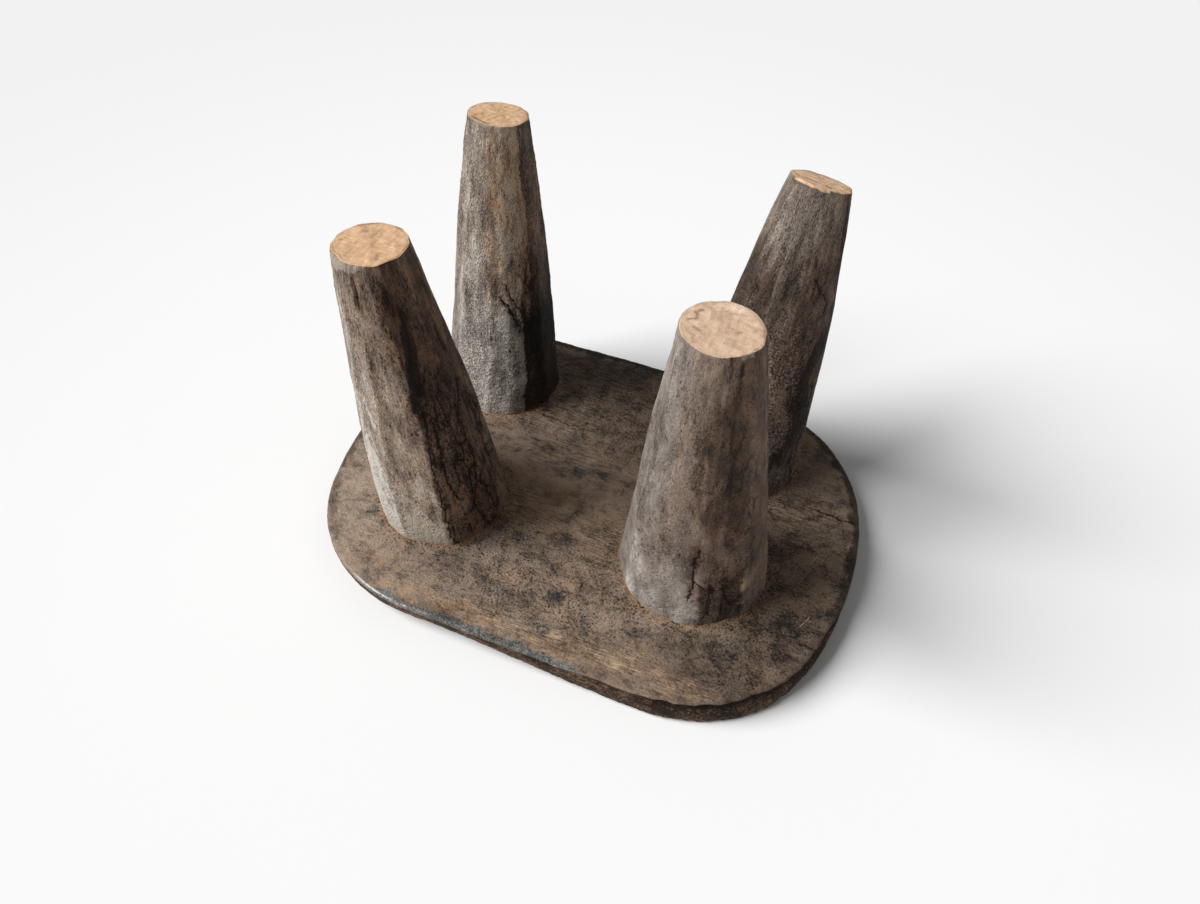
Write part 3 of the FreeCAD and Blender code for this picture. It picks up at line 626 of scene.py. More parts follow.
def leg_surface(leg):
    """A leg as a grid: rows up the side, over the worn rim and across the sawn foot, and its two end points.

    The worn rim is a quarter ellipse from the side's last row to the edge of the sawn face, and the rows of
    the face are that edge drawn in to its middle. Grain coordinates keep a place's angle and height at one
    radius all the way, so that fibres follow the taper.
    """
    angle = np.arange(LEG_AROUND) * 360 / LEG_AROUND - 180
    ring = np.stack([np.cos(np.radians(angle)), np.sin(np.radians(angle)), 0 * angle], axis=-1)
    wear, fresh = foot_wear(leg, angle, ring)
    side, middle, grain, marks = leg_side(leg, angle, ring, wear)

    wear_shares = np.linspace(0, 1, WEAR_ROWS + 1)[1:, None]
    quarter = wear_shares * np.pi / 2
    outward = side[-1, :, :2] - middle
    shrink = 1 - WEAR_IN * wear * (1 - np.cos(quarter)) / np.linalg.norm(outward, axis=-1)
    rim_level = side[-1, :, 2] + WEAR_DOWN * wear * np.sin(quarter)
    rim = at_height(middle + outward * shrink[..., None], rim_level)

    foot_shares = np.linspace(1, 0, FOOT_ROWS + 1)[1:-1, None]
    pole = rim[-1].mean(axis=0)
    face = pole + (rim[-1] - pole) * foot_shares[..., None]
    seed = leg["seed"]
    face[..., 2] += relief(face, SAW_MARKS, seed) * ease(1 - foot_shares, *SAW_MARKS_FADE)

    aside = face[..., :2] - pole[:2]
    from_rim = (1 - foot_shares) * leg["foot"][2]
    grime = ease(ripple(ring, (0.5, 0.5, 1), seed + 10), -1, 1)
    foot_tone = GRIME_TONE * (1 - ease(from_rim, *GRIME_WIDTH)) * grime
    for line, width, strength in leg["foot_marks"]:
        foot_tone += strength * nearness(line_offset(aside[..., 0], aside[..., 1], line), width)

    shapes = [rows.shape[:2] for rows in (side, rim, face)]
    masks = {name: leg_rows(shapes, on_side, 0.0, 0.0) for name, on_side in marks.items()}
    masks["tone"] = leg_rows(shapes, marks["tone"], marks["tone"][-1], foot_tone)
    masks["ash"] = leg_rows(shapes, marks["ash"], leg["foot_ash"], leg["foot_ash"])
    masks["chip"] = leg_rows(shapes, 0.0, ease(wear, *CHIP_DEPTHS), 0.0)
    masks["sawn"] = leg_rows(shapes, 0.0, np.maximum(ease(wear_shares, *FOOT_SAWN), fresh), 1.0)

    root = np.array([*leg["base"][:2], SEAT_TOP - LEG_ROOT])
    points = np.concatenate([side, rim, face])
    grains = np.concatenate([grain, grain_at(ring, rim[..., 2]), grain_at(ring, face[..., 2], foot_shares)])
    return points, np.stack([root, pole]), grains, masks


def seat_halves():
    """Half the seat's length and half its width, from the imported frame."""
    low, high = (np.array(corner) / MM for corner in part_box("seat"))
    return (high - low)[:2] / 2


def outline_reach(direction):
    """Distance from the seat's middle to its outline: where a ray meets the arc that it leaves through.

    A ray along a unit vector meets a circle at the part of its centre along the ray plus a root: that of the
    radius squared, less the centre's distance squared, plus that part squared. The seat is the same in all
    four quarters, so the ray is folded into the first.
    """
    half_length, half_width = seat_halves()
    long_centre = np.array([0, half_width - LONG_SIDE_RADIUS])
    short_centre = np.array([half_length - SHORT_SIDE_RADIUS, 0])

    # A corner's centre is as far from each side's centre as the radii differ.
    span = short_centre - long_centre
    gap = np.linalg.norm(span)
    to_long = LONG_SIDE_RADIUS - CORNER_RADIUS
    to_short = SHORT_SIDE_RADIUS - CORNER_RADIUS
    along = (to_long**2 - to_short**2 + gap**2) / (2 * gap)
    aside = math.sqrt(to_long**2 - along**2)
    unit = span / gap
    corner_centre = long_centre + unit * along + np.array([unit[1], -unit[0]]) * aside

    short_touch = short_centre + (corner_centre - short_centre) * SHORT_SIDE_RADIUS / to_short
    long_touch = long_centre + (corner_centre - long_centre) * LONG_SIDE_RADIUS / to_long
    ray = np.abs(direction)
    polar = np.arctan2(ray[..., 1], ray[..., 0])
    reaches = []
    for centre, radius in (
        (short_centre, SHORT_SIDE_RADIUS),
        (corner_centre, CORNER_RADIUS),
        (long_centre, LONG_SIDE_RADIUS),
    ):
        share = ray @ centre
        inside = np.clip(radius**2 - centre @ centre + share**2, 0, None)
        reaches.append(share + np.sqrt(inside))
    on_short = polar < math.atan2(short_touch[1], short_touch[0])
    on_corner = polar < math.atan2(long_touch[1], long_touch[0])
    return np.select([on_short, on_corner], reaches[:2], reaches[2])


def leg_gap(places):
    """Distance from places on the seat's underside to the side of the nearest leg, below 0 under a leg."""
    nearest = np.full(places.shape[:-1], np.inf)
    for leg in LEGS.values():
        away = places - np.array(leg["base"][:2])
        angle = np.degrees(np.arctan2(away[..., 1], away[..., 0]))
        radius, _, _ = faceted_section(leg, angle, np.zeros(angle.shape))
        nearest = np.minimum(nearest, np.hypot(away[..., 0], away[..., 1]) - radius)
    return nearest


def patch(places, middle, halves):
    """1 within an ellipse on the seat's underside, fading to 0 well outside it."""
    apart = np.hypot(*((places - np.array(middle)) / np.array(halves)).T)
    return 1 - ease(apart, *PATCH_EDGE)


def layered(places, marks):
    """Soft ellipses on the seat's underside, each times its strength, added up."""
    return sum(strength * patch(places, middle, halves) for middle, halves, strength in marks)


def covered(places, marks):
    """1 where any of some soft ellipses covers the seat's underside."""
    return np.maximum.reduce([patch(places, middle, halves) for middle, halves in marks])


def edge_loop(columns, rows):
    """Grid numbers of the outer points of a grid, once round against the clock."""
    grid = np.arange(columns * rows).reshape(rows, columns)
    return np.concatenate([grid[0, :-1], grid[:-1, -1], grid[-1, :0:-1], grid[:0:-1, 0]])


def band(polar, middle, flat, end):
    """1 within some degrees of a direction from the seat's middle, and 0 beyond more degrees."""
    return 1 - ease(np.abs(turned(polar - middle)), flat, end)


def edge_cut(polar, ring):
    """How the seat's edge is cut in each direction, as depths and heights, and where it is stained dark.

    At the front corner on the right the lip stands back over a groove and a rough upright band, and left of
    it the lip crumbles. Elsewhere the edge rounds over above and tucks far under below. Under the lip, where
    the groove lies, the wall is painted near black: painted shade, partly dark stain.
    """
    corner = np.where(turned(polar + 50) < 0, band(polar, -50, 6, 64), band(polar, -50, 14, 38))
    lip = band(polar, -34, 14, 32)
    front = band(polar, -118, 24, 46)
    right = band(polar, 24, 26, 44)
    back = band(polar, 104, 34, 66)
    uneven = ripple(ring, (0.7, 0.7, 1), 302)
    crumbs = np.clip(0.5 + 0.4 * ripple(ring, (0.05, 0.05, 1), 306), 0, 1)
    return {
        "hand_cut": 0.35 * ripple(ring, (1.0, 1.0, 1), 301) - 1.5 * band(polar, -70, 46, 84)
        + 1.5 * band(polar, -50, 8, 24) - 2.4 * band(polar, 40, 8, 30),
        "lip_in": lip * (2.3 + 0.3 * ripple(ring, (0.07, 0.07, 1), 303))
        + 0.4 * corner * ripple(ring, (0.3, 0.3, 1), 304) + 0.4 * corner * ripple(ring, (0.1, 0.1, 1), 305),
        "round_in": 1.6 + 0.9 * front + 1.8 * right + 1.2 * back + 0.2 * uneven,
        "round_down": 1.3 + 0.9 * front + 0.6 * right,
        "tuck_in": 12 + 5.5 * front * (1 - corner) - 9.5 * corner + 0.5 * uneven,
        "tuck_up": 14 + front * (1 - corner) - 12 * corner,
        "groove": 2.2 * corner,
        "crumble": band(polar, -62, 12, 24) * crumbs,
        # Painted shade: the wall's top under the lip is painted near black where the groove lies in shade,
        # partly dark stain.
        "shade": lip + 0.2 * corner * (1 - lip),
        "roughness": 0.05 + 0.14 * corner,
        "bevel": band(polar, -103, 23, 34),
        "bevel_width": 2.0 + 1.4 * band(polar, -98, 16, 30),
        "gloss": band(polar, -123, 5, 14),
        "stain": np.maximum(np.maximum(right, back), 0.6 * band(polar, -172, 18, 36)),
    }


def seat_rim(direction, reach, height, cut):
    """Rows of the seat's rim, from the underside's edge round to the sitting face's edge, and their masks.

    A quarter ellipse rounds over from the underside to the lip. A wall runs down from the lip, in along a
    groove and out to the full outline, and a second quarter ellipse tucks under to the floor.
    """
    step = np.linspace(0, 1, RIM_ROWS + 1)[1:-1, None]
    upper_turn = np.pi / 2 * np.clip(step / EDGE_SHARE, 0, 1)
    lower_turn = np.pi / 2 * np.clip((step - WALL_SHARE) / (1 - WALL_SHARE), 0, 1)
    wall = np.clip((step - EDGE_SHARE) / (WALL_SHARE - EDGE_SHARE), 0, 1)
    groove = nearness(wall - 0.28, 0.20) * np.sign(wall)
    inset = cut["lip_in"] * (1 - ease(wall, 0.35, 0.75)) + groove * cut["groove"]
    inset = inset + cut["round_in"] * (1 - np.sin(upper_turn)) + cut["tuck_in"] * (1 - np.cos(lower_turn))
    wall_top = height - cut["round_down"]
    rim_height = np.where(
        step < EDGE_SHARE,
        height - cut["round_down"] * (1 - np.cos(upper_turn)),
        wall_top + (cut["tuck_up"] - wall_top) * wall - cut["tuck_up"] * np.sin(lower_turn),
    )
    rim = at_height(direction * (reach - inset)[..., None], rim_height)
    rough = 0.10 * ripple(rim, (9, 9, 3), 321) + cut["roughness"] * ripple(rim, (3, 3, 1.8), 322)
    rim[..., :2] += direction * (rough * ease(step, EDGE_SHARE, EDGE_SHARE + 0.1))[..., None]
    upper = 1 - ease(step - 0.2 * cut["crumble"], 0.2, EDGE_SHARE)
    masks = {
        "bevel": cut["bevel"] * upper,
        "gloss": cut["gloss"] * upper,
        "side": 1 - upper,
        # Painted shade: near black on the wall's top under the lip, the groove's shade, partly dark stain.
        "groove": np.sign(wall) * (1 - ease(wall, 0.34, 0.56)) * cut["shade"],
        "stain": np.broadcast_to(cut["stain"], inset.shape),
    }
    return rim, masks


def seat_surface():
    """The seat as two grids, the underside above and the sitting face below, joined by the rim's rows.

    A place (a, b) of a square grid, both from -1 to 1, keeps its direction from the middle and moves to
    max(|a|, |b|) times the way to the edge. The underside has low hollows, grit and crumbs where the legs
    stand. The sitting face is dished like a shallow bowl: depth times one minus the squared shares of its
    half length and width.
    """
    columns, rows = (cells + 1 for cells in SEAT_CELLS)
    a, b = np.meshgrid(np.linspace(-1, 1, columns), np.linspace(-1, 1, rows))
    spread = np.maximum(np.abs(a), np.abs(b)).ravel()
    direction = np.stack([a.ravel(), b.ravel()], axis=-1) * seat_halves()
    length = np.linalg.norm(direction, axis=-1, keepdims=True)
    direction = direction / np.where(length == 0, 1, length)
    polar = np.degrees(np.arctan2(direction[:, 1], direction[:, 0]))
    cut = edge_cut(polar, at_height(direction, 0.0))
    reach = outline_reach(direction) + cut["hand_cut"]

    under_reach = reach - cut["lip_in"] - cut["round_in"]
    under = direction * (under_reach * spread)[:, None]
    flat = at_height(under, 0.0)
    gap = leg_gap(under)
    jag = relief(flat, SEAT_JAG, start=under[:, 1])
    _, cracks = line_masks("crack", SEAT_CRACKS, under[:, 0], jag)
    _, scratches = line_masks("scratch", SEAT_SCRATCHES, under[:, 0], under[:, 1])
    hollows = relief(flat, SEAT_HOLLOWS)
    grit = relief(flat, SEAT_GRIT)
    crumbs = (1 - ease(gap, *CRUMB_REACH)) * relief(flat, SEAT_CRUMBS, start=CRUMB_HEIGHT)
    height = SEAT_TOP + hollows + grit + np.clip(crumbs, 0, None) - SEAT_CRACK_DEPTH * cracks["crack"]

    sitting = direction * ((reach - cut["tuck_in"]) * spread)[:, None]
    bowl = 1 - (sitting[:, 0] / DISH_HALF_LENGTH) ** 2 - (sitting[:, 1] / DISH_HALF_WIDTH) ** 2
    sitting_height = DISH_DEPTH * np.clip(bowl, 0, None)

    loop = edge_loop(columns, rows)
    loop_cut = {name: values[loop] for name, values in cut.items()}
    rim, rim_masks = seat_rim(direction[loop], reach[loop], height[loop], loop_cut)
    faces = [at_height(under, height), at_height(sitting, sitting_height)]
    points = np.concatenate([*faces, rim.reshape(-1, 3)])

    fray = [relief(flat, layers) for layers in (SEAT_FRAY_ALONG, SEAT_FRAY_ACROSS)]
    frayed = under + np.stack(fray, axis=-1)
    tone = layered(frayed, SEAT_MARKS_AND_PAINTED_LIGHT)
    from_edge = under_reach * (1 - spread) + relief(flat, EDGE_FRAY)
    edge = 1 - ease(from_edge / cut["bevel_width"], *BEVEL_FADE)
    wide_edge = 1 - ease(from_edge, *STAIN_WIDTH)
    under_masks = {
        **cracks,
        **scratches,
        "tone": tone,
        "warm": layered(frayed, SEAT_RUBBED),
        "soot": covered(frayed, SEAT_STAINS),
        "fibrous": covered(frayed, SEAT_FIBRES),
        "fringe": 1 - ease(gap, *SEAT_FRINGE),
        "dust": 1 - ease(gap, *SEAT_DUST),
        "bevel": edge * cut["bevel"],
        "gloss": (1 - ease(from_edge, *GLOSS_WIDTH)) * cut["gloss"],
        "stain": wide_edge * cut["stain"],
        "pitted": covered(frayed, SEAT_PITTED),
    }
    on_rim = np.zeros(rim.shape[:2])
    rim_masks["tone"] = on_rim + tone[loop]
    nothing = np.zeros(len(under))
    masks = {}
    for name in (*under_masks, "side", "groove"):
        rows_of_rim = rim_masks.get(name, on_rim).ravel()
        masks[name] = np.concatenate([under_masks.get(name, nothing), nothing, rows_of_rim])
    return points, loop, masks, (columns, rows)


def place_object(name, data):
    """A new object of that name in the scene, unmoved."""
    item = bpy.data.objects.new(name, data)
    bpy.context.scene.collection.objects.link(item)
    return item


def grid_faces(columns, rows):
    """Four corner numbers for each cell of a grid, against the clock seen from above."""
    grid = np.arange(columns * rows).reshape(rows, columns)
    return np.stack([grid[:-1, :-1], grid[:-1, 1:], grid[1:, 1:], grid[1:, :-1]], axis=-1).reshape(-1, 4)


def ring_faces(lower, upper):
    """Quads between two closed rings of point numbers, facing outwards for rings against the clock."""
    return np.stack([lower, np.roll(lower, -1), np.roll(upper, -1), upper], axis=-1)


def make_mesh(name, points, quads, triangles, grain, masks):
    """A mesh object in metres from point, quad and triangle arrays, with its grain coordinates and masks."""
    mesh = bpy.data.meshes.new(name)
    corners = np.concatenate([quads.ravel(), triangles.ravel()]).astype(np.int32)
    sizes = np.concatenate([np.full(len(quads), 4), np.full(len(triangles), 3)])
    starts = np.concatenate([[0], np.cumsum(sizes)[:-1]]).astype(np.int32)
    mesh.vertices.add(len(points))
    mesh.vertices.foreach_set("co", (points * MM).astype(np.float32).ravel())
    mesh.loops.add(len(corners))
    mesh.loops.foreach_set("vertex_index", corners)
    mesh.polygons.add(len(sizes))
    mesh.polygons.foreach_set("loop_start", starts)
    mesh.update(calc_edges=True)
    mesh.validate()
    places = mesh.attributes.new("grain", "FLOAT_VECTOR", "POINT")
    places.data.foreach_set("vector", (grain * MM).astype(np.float32).ravel())
    for label, values in masks.items():
        mask = mesh.attributes.new(label, "FLOAT", "POINT")
        mask.data.foreach_set("value", values.astype(np.float32).ravel())
    return place_object(name, mesh)


def make_leg(node, leg, material):
    """One leg's mesh, closed by a fan at its buried root and another at the middle of its foot."""
    points, poles, grains, masks = leg_surface(leg)
    rows = len(points)
    rings = np.arange(rows * LEG_AROUND).reshape(rows, LEG_AROUND)
    quads = np.concatenate([ring_faces(rings[row], rings[row + 1]) for row in range(rows - 1)])
    root_pole = rows * LEG_AROUND
    foot_pole = root_pole + 1
    root_fan = np.stack([np.roll(rings[0], -1), rings[0], np.full(LEG_AROUND, root_pole)], axis=-1)
    foot_fan = np.stack([rings[-1], np.roll(rings[-1], -1), np.full(LEG_AROUND, foot_pole)], axis=-1)
    pole_grains = poles * np.array([0, 0, 1])
    all_masks = {}
    for name, values in masks.items():
        all_masks[name] = np.concatenate([values.ravel(), [values[0].mean(), values[-1].mean()]])
    all_points = np.concatenate([points.reshape(-1, 3), poles])
    all_grains = np.concatenate([grains.reshape(-1, 3), pole_grains])
    fans = np.concatenate([root_fan, foot_fan])
    piece = make_mesh(f"{node}_wood", all_points, quads, fans, all_grains, all_masks)
    piece.data.materials.append(material)
    return piece


def make_seat(material):
    """The seat's mesh: both faces and the rim between them."""
    points, loop, masks, (columns, rows) = seat_surface()
    top = grid_faces(columns, rows)
    count = columns * rows
    bottom = grid_faces(columns, rows)[:, ::-1] + count
    rim = 2 * count + np.arange((RIM_ROWS - 1) * len(loop)).reshape(RIM_ROWS - 1, len(loop))
    rings = [loop, *rim, loop + count]
    sides = [ring_faces(lower, upper) for upper, lower in zip(rings, rings[1:])]
    quads = np.concatenate([top, bottom, *sides])
    no_triangles = np.zeros((0, 3), int)
    piece = make_mesh("seat_wood", points, quads, no_triangles, points, masks)
    piece.data.materials.append(material)
    return piece


def connect(tree, node, sockets):
    """Sets a node's sockets, given as {name or number: a value to set or a socket to link}."""
    for key, value in sockets.items():
        if isinstance(value, bpy.types.NodeSocket):
            tree.links.new(value, node.inputs[key])
        else:
            node.inputs[key].default_value = value
    return node


def add(tree, kind, sockets=None, **settings):
    """Adds a shader node with its settings and sockets."""
    node = tree.nodes.new("ShaderNode" + kind)
    for name, value in settings.items():
        setattr(node, name, value)
    return connect(tree, node, sockets or {})


def maths(tree, operation, first, second):
    """One sum on two values, such as the larger of them."""
    return add(tree, "Math", {0: first, 1: second}, operation=operation).outputs[0]


def times(tree, first, second):
    """The product of two values."""
    return maths(tree, "MULTIPLY", first, second)


def weighed(tree, start, parts):
    """A start value plus each part's value times its weight."""
    total = start
    for value, weight in parts:
        total = add(tree, "Math", {0: value, 1: weight, 2: total}, operation="MULTIPLY_ADD").outputs[0]
    return total


def centred(tree, mark):
    """A mark from 0 to 1, brought between -0.5 and 0.5."""
    return weighed(tree, -0.5, [(mark, 1.0)])


def smooth(tree, value, low, high):
    """0 below low, 1 above high and a smooth S between them."""
    sockets = {"Value": value, "From Min": low, "From Max": high}
    return add(tree, "MapRange", sockets, interpolation_type="SMOOTHSTEP").outputs["Result"]


def tint(tree, mask, under, over):
    """The colour over laid on the colour under where the mask is 1."""
    return add(tree, "Mix", {0: mask, 6: under, 7: over}, data_type="RGBA").outputs[2]


def painted(tree, mask, share, under, code):
    """The colour under with a share of one paint laid on it where the mask is 1."""
    return tint(tree, times(tree, mask, share), under, paint(code))


def greyed(tree, saturation, colour):
    """A colour with its saturation turned down."""
    return add(tree, "HueSaturation", {"Saturation": saturation, "Color": colour}).outputs[0]


def ramp(tree, value, stops):
    """A colour ramp through {place: colour}."""
    node = add(tree, "ValToRGB", {"Fac": value})
    elements = node.color_ramp.elements
    places = list(stops)
    elements[0].position, elements[1].position = places[0], places[-1]
    for place in places[1:-1]:
        elements.new(place)
    for element, place in zip(elements, places):
        element.color = paint(stops[place])
    return node.outputs["Color"]


def mask_of(tree, name):
    """The piece's own mask of that name."""
    return add(tree, "Attribute", attribute_name=name, attribute_type="GEOMETRY").outputs["Fac"]


def grain_of(tree):
    """The piece's own grain coordinates, in metres."""
    return add(tree, "Attribute", attribute_name="grain", attribute_type="GEOMETRY").outputs["Vector"]


def cells_of(tree, place, cell):
    """Coordinates divided by the size of one cell."""
    return add(tree, "VectorMath", {0: place, 1: cell}, operation="DIVIDE").outputs[0]


def cell_noise(tree, place, cell, detail, roughness):
    """Noise that rises and falls about once in a cell."""
    cells = cells_of(tree, place, cell)
    sockets = {"Vector": cells, "Scale": 1.0, "Detail": detail, "Roughness": roughness}
    return add(tree, "TexNoise", sockets).outputs["Fac"]


def aged_wood_group():
    """Marks of old hand-cut wood, each from 0 to 1 over the surface, from cells of a given size.

    Patina and bloom are broad noise with much fine detail, fibre is noise drawn out along the grain, and
    grit fine even noise whose peaks are specks and whose lows are pits. Hairs are the thin lines where a
    stretched noise passes its middle value. Pores are the near places of scattered points, and checks the
    gaps between the cells of a bent mosaic. Hairs and checks are broken up by the patina. Stains are the
    lows of a noise of their own with soft edges, and a halo the wider ground round them.
    """
    tree = bpy.data.node_groups.new("aged_wood", "ShaderNodeTree")
    kinds = ("Patina", "Bloom", "Fibre", "Grit", "Hair", "Pore", "Check", "Stain")
    for label in ("Place", *(f"{kind} Cell" for kind in kinds)):
        tree.interface.new_socket(label, in_out="INPUT", socket_type="NodeSocketVector")
    for label in (*kinds, "Halo", "Speck", "Pit"):
        tree.interface.new_socket(label, in_out="OUTPUT", socket_type="NodeSocketFloat")
    given = tree.nodes.new("NodeGroupInput").outputs
    result = tree.nodes.new("NodeGroupOutput")
    place = given["Place"]

    patina = cell_noise(tree, place, given["Patina Cell"], 10.0, 0.74)
    bloom = cell_noise(tree, place, given["Bloom Cell"], 8.0, 0.68)
    fibre = cell_noise(tree, place, given["Fibre Cell"], 4.0, 0.62)
    grit = cell_noise(tree, place, given["Grit Cell"], 2.0, 0.6)
    stain = cell_noise(tree, place, given["Stain Cell"], 5.0, 0.60)
    hair = cell_noise(tree, place, given["Hair Cell"], 3.0, 0.55)
    from_middle = maths(tree, "ABSOLUTE", centred(tree, hair), 0.0)
    broken = smooth(tree, patina, 0.56, 0.46)

    pore_cells = cells_of(tree, place, given["Pore Cell"])
    spots = add(tree, "TexVoronoi", {"Vector": pore_cells, "Scale": 1.0}).outputs["Distance"]
    spot_size = cell_noise(tree, pore_cells, (3.0, 3.0, 3.0), 2.0, 0.5)
    size = weighed(tree, -0.10, [(spot_size, 0.75)])

    check_cells = cells_of(tree, place, given["Check Cell"])
    bend = add(tree, "TexNoise", {"Vector": check_cells, "Scale": 2.5, "Detail": 3.0}).outputs["Color"]
    bent = add(tree, "VectorMath", {0: bend, 1: (0.5, 0.5, 0.5), 2: check_cells}, operation="MULTIPLY_ADD")
    mosaic = add(tree, "TexVoronoi", {"Vector": bent.outputs[0], "Scale": 1.0}, feature="DISTANCE_TO_EDGE")
    line = smooth(tree, mosaic.outputs["Distance"], 0.08, 0.015)

    connect(tree, result, {
        "Patina": smooth(tree, patina, 0.22, 0.78),
        "Bloom": smooth(tree, bloom, 0.34, 0.66),
        "Fibre": smooth(tree, fibre, 0.22, 0.78),
        "Grit": smooth(tree, grit, 0.24, 0.76),
        "Hair": times(tree, smooth(tree, from_middle, 0.022, 0.004), broken),
        "Pore": smooth(tree, spots, size, times(tree, size, 0.45)),
        "Check": times(tree, line, broken),
        "Stain": smooth(tree, stain, 0.45, 0.35),
        "Halo": smooth(tree, stain, 0.56, 0.42),
        "Speck": smooth(tree, grit, 0.63, 0.74),
        "Pit": smooth(tree, grit, 0.42, 0.31),
    })
    return tree


def aged_wood(tree, group, cells):
    """Places the shared wood marks in a material, with the sizes of its cells in metres."""
    node = tree.nodes.new("ShaderNodeGroup")
    node.node_tree = group
    sizes = {f"{kind} Cell": cell for kind, cell in cells.items()}
    return connect(tree, node, {"Place": grain_of(tree), **sizes}).outputs


def thin_line(tree, wood, label):
    """The inside of thin lines, such as cracks: within their half width, made ragged by the grit."""
    share = maths(tree, "ABSOLUTE", mask_of(tree, f"{label}_share"), 0.0)
    ragged = weighed(tree, maths(tree, "SUBTRACT", share, 0.4), [(wood["Grit"], 0.8)])
    within_reach = smooth(tree, mask_of(tree, label), 0.10, 0.30)
    return times(tree, smooth(tree, ragged, 1.1, 0.45), within_reach)


def new_material(name):
    """A material with its node tree and its shader."""
    material = bpy.data.materials.new(name)
    material.use_nodes = True
    tree = material.node_tree
    return material, tree, tree.nodes["Principled BSDF"]


def finish_wood(tree, shader, colour, roughness, height, depth):
    """Links a wood's colour, roughness and relief, with the dull sheen of bare wood."""
    bump = add(tree, "Bump", {"Height": height, "Strength": 1.0, "Distance": depth})
    connect(tree, shader, {"Base Color": colour, "Roughness": roughness, "Normal": bump.outputs["Normal"]})
    shader.inputs["Specular IOR Level"].default_value = WOOD_SHEEN


def leg_wood(group):
    """Weathered leg: black-brown to silver patches, drawn stains, cracks, a crumbly root and a sawn foot."""
    material, tree, shader = new_material("weathered_leg_wood")
    wood = aged_wood(tree, group, {
        "Patina": (0.013, 0.013, 0.034), "Bloom": (0.010, 0.010, 0.015), "Fibre": (0.0010, 0.0010, 0.0100),
        "Grit": (0.0010, 0.0010, 0.0013), "Hair": (0.0060, 0.0060, 0.030), "Pore": (0.0026, 0.0026, 0.0060),
        "Check": (0.0065, 0.0065, 0.026), "Stain": (0.0055, 0.0055, 0.0130),
    })
    rough = mask_of(tree, "rough")
    even_grit = centred(tree, wood["Grit"])
    rough_grit = times(tree, rough, even_grit)
    rough_speck = times(tree, rough, wood["Speck"])
    crackle = times(tree, mask_of(tree, "crackle"), wood["Check"])
    gap = maths(tree, "MAXIMUM", crackle, thin_line(tree, wood, "crack"))
    worn_arris = times(tree, mask_of(tree, "arris"), weighed(tree, -0.25, [(wood["Bloom"], 1.0)]))

    fibrous = mask_of(tree, "fibrous")
    mottled = mask_of(tree, "mottled")
    hair = times(tree, fibrous, wood["Hair"])
    pore = times(tree, fibrous, wood["Pore"])
    fibre = times(tree, fibrous, centred(tree, wood["Fibre"]))
    patina = times(tree, mottled, centred(tree, wood["Patina"]))
    pit = times(tree, wood["Halo"], wood["Pit"])
    blotchy = weighed(tree, 0.60, [(wood["Patina"], 0.80)])
    marks = times(tree, mask_of(tree, "tone"), blotchy)
    tone = weighed(tree, maths(tree, "ADD", marks, 0.46), [
        (patina, 0.36), (wood["Bloom"], 0.12), (fibre, 0.14), (wood["Grit"], 0.14), (hair, -0.16),
        (pore, -0.22), (pit, -0.18), (wood["Stain"], -0.10), (worn_arris, 0.14), (rough_grit, 0.46),
        (rough_speck, 0.24),
    ])
    grey = ramp(tree, tone, {
        0.00: "0b0908", 0.22: "2b221d", 0.42: "574a41", 0.60: "80746a", 0.80: "9e9387", 1.00: "c8c1b6",
    })
    brown = ramp(tree, tone, {
        0.00: "0c0806", 0.22: "2e1f17", 0.42: "5e4636", 0.60: "876a55", 0.80: "a98a70", 1.00: "cbb093",
    })
    warmth = times(tree, mask_of(tree, "warm"), weighed(tree, 0.25, [(wood["Bloom"], 0.6)]))
    hue = weighed(tree, 0.04, [(times(tree, mottled, wood["Bloom"]), 0.16), (warmth, 0.8)])
    ashen = weighed(tree, 1.0, [(mask_of(tree, "ash"), -0.7)])
    colour = greyed(tree, ashen, tint(tree, hue, grey, brown))
    bare = weighed(tree, -0.35, [(wood["Fibre"], 0.9), (wood["Patina"], 1.0), (wood["Stain"], -0.5)])
    colour = painted(tree, mask_of(tree, "chip"), bare, colour, "aea293")

    fringe = times(tree, mask_of(tree, "fringe"), smooth(tree, wood["Grit"], 0.40, 0.80))
    colour = painted(tree, fringe, 0.8, colour, "a87c58")
    colour = painted(tree, gap, 0.92, colour, "0c0907")

    end_tone = weighed(tree, maths(tree, "ADD", mask_of(tree, "tone"), 0.24), [
        (wood["Grit"], 0.08), (wood["Patina"], 0.15), (wood["Bloom"], 0.17), (wood["Pore"], -0.07),
    ])
    sawn = greyed(tree, ashen, ramp(tree, end_tone, {
        0.00: "6f5643", 0.22: "ab8768", 0.45: "d9b28d", 0.65: "eac8a7", 1.00: "f6e8d2",
    }))
    ragged = weighed(tree, mask_of(tree, "sawn"), [(even_grit, 0.5)])
    patchy = weighed(tree, 0.2, [(wood["Patina"], 0.7)])
    colour = painted(tree, smooth(tree, ragged, 0.20, 0.42), patchy, colour, "2e241d")
    colour = tint(tree, smooth(tree, ragged, 0.42, 0.62), colour, sawn)

    height = weighed(tree, 0.0, [
        (wood["Grit"], 0.45), (fibre, 0.30), (wood["Patina"], 0.7), (hair, -0.35), (pore, -0.5),
        (pit, -0.3), (wood["Stain"], -0.25), (gap, -0.9), (rough_grit, 0.8),
    ])
    roughness = weighed(tree, 0.62, [(wood["Grit"], 0.2)])
    calm = weighed(tree, 1.0, [(mask_of(tree, "sawn"), -0.75)])
    finish_wood(tree, shader, colour, roughness, times(tree, height, calm), LEG_RELIEF)
    return material


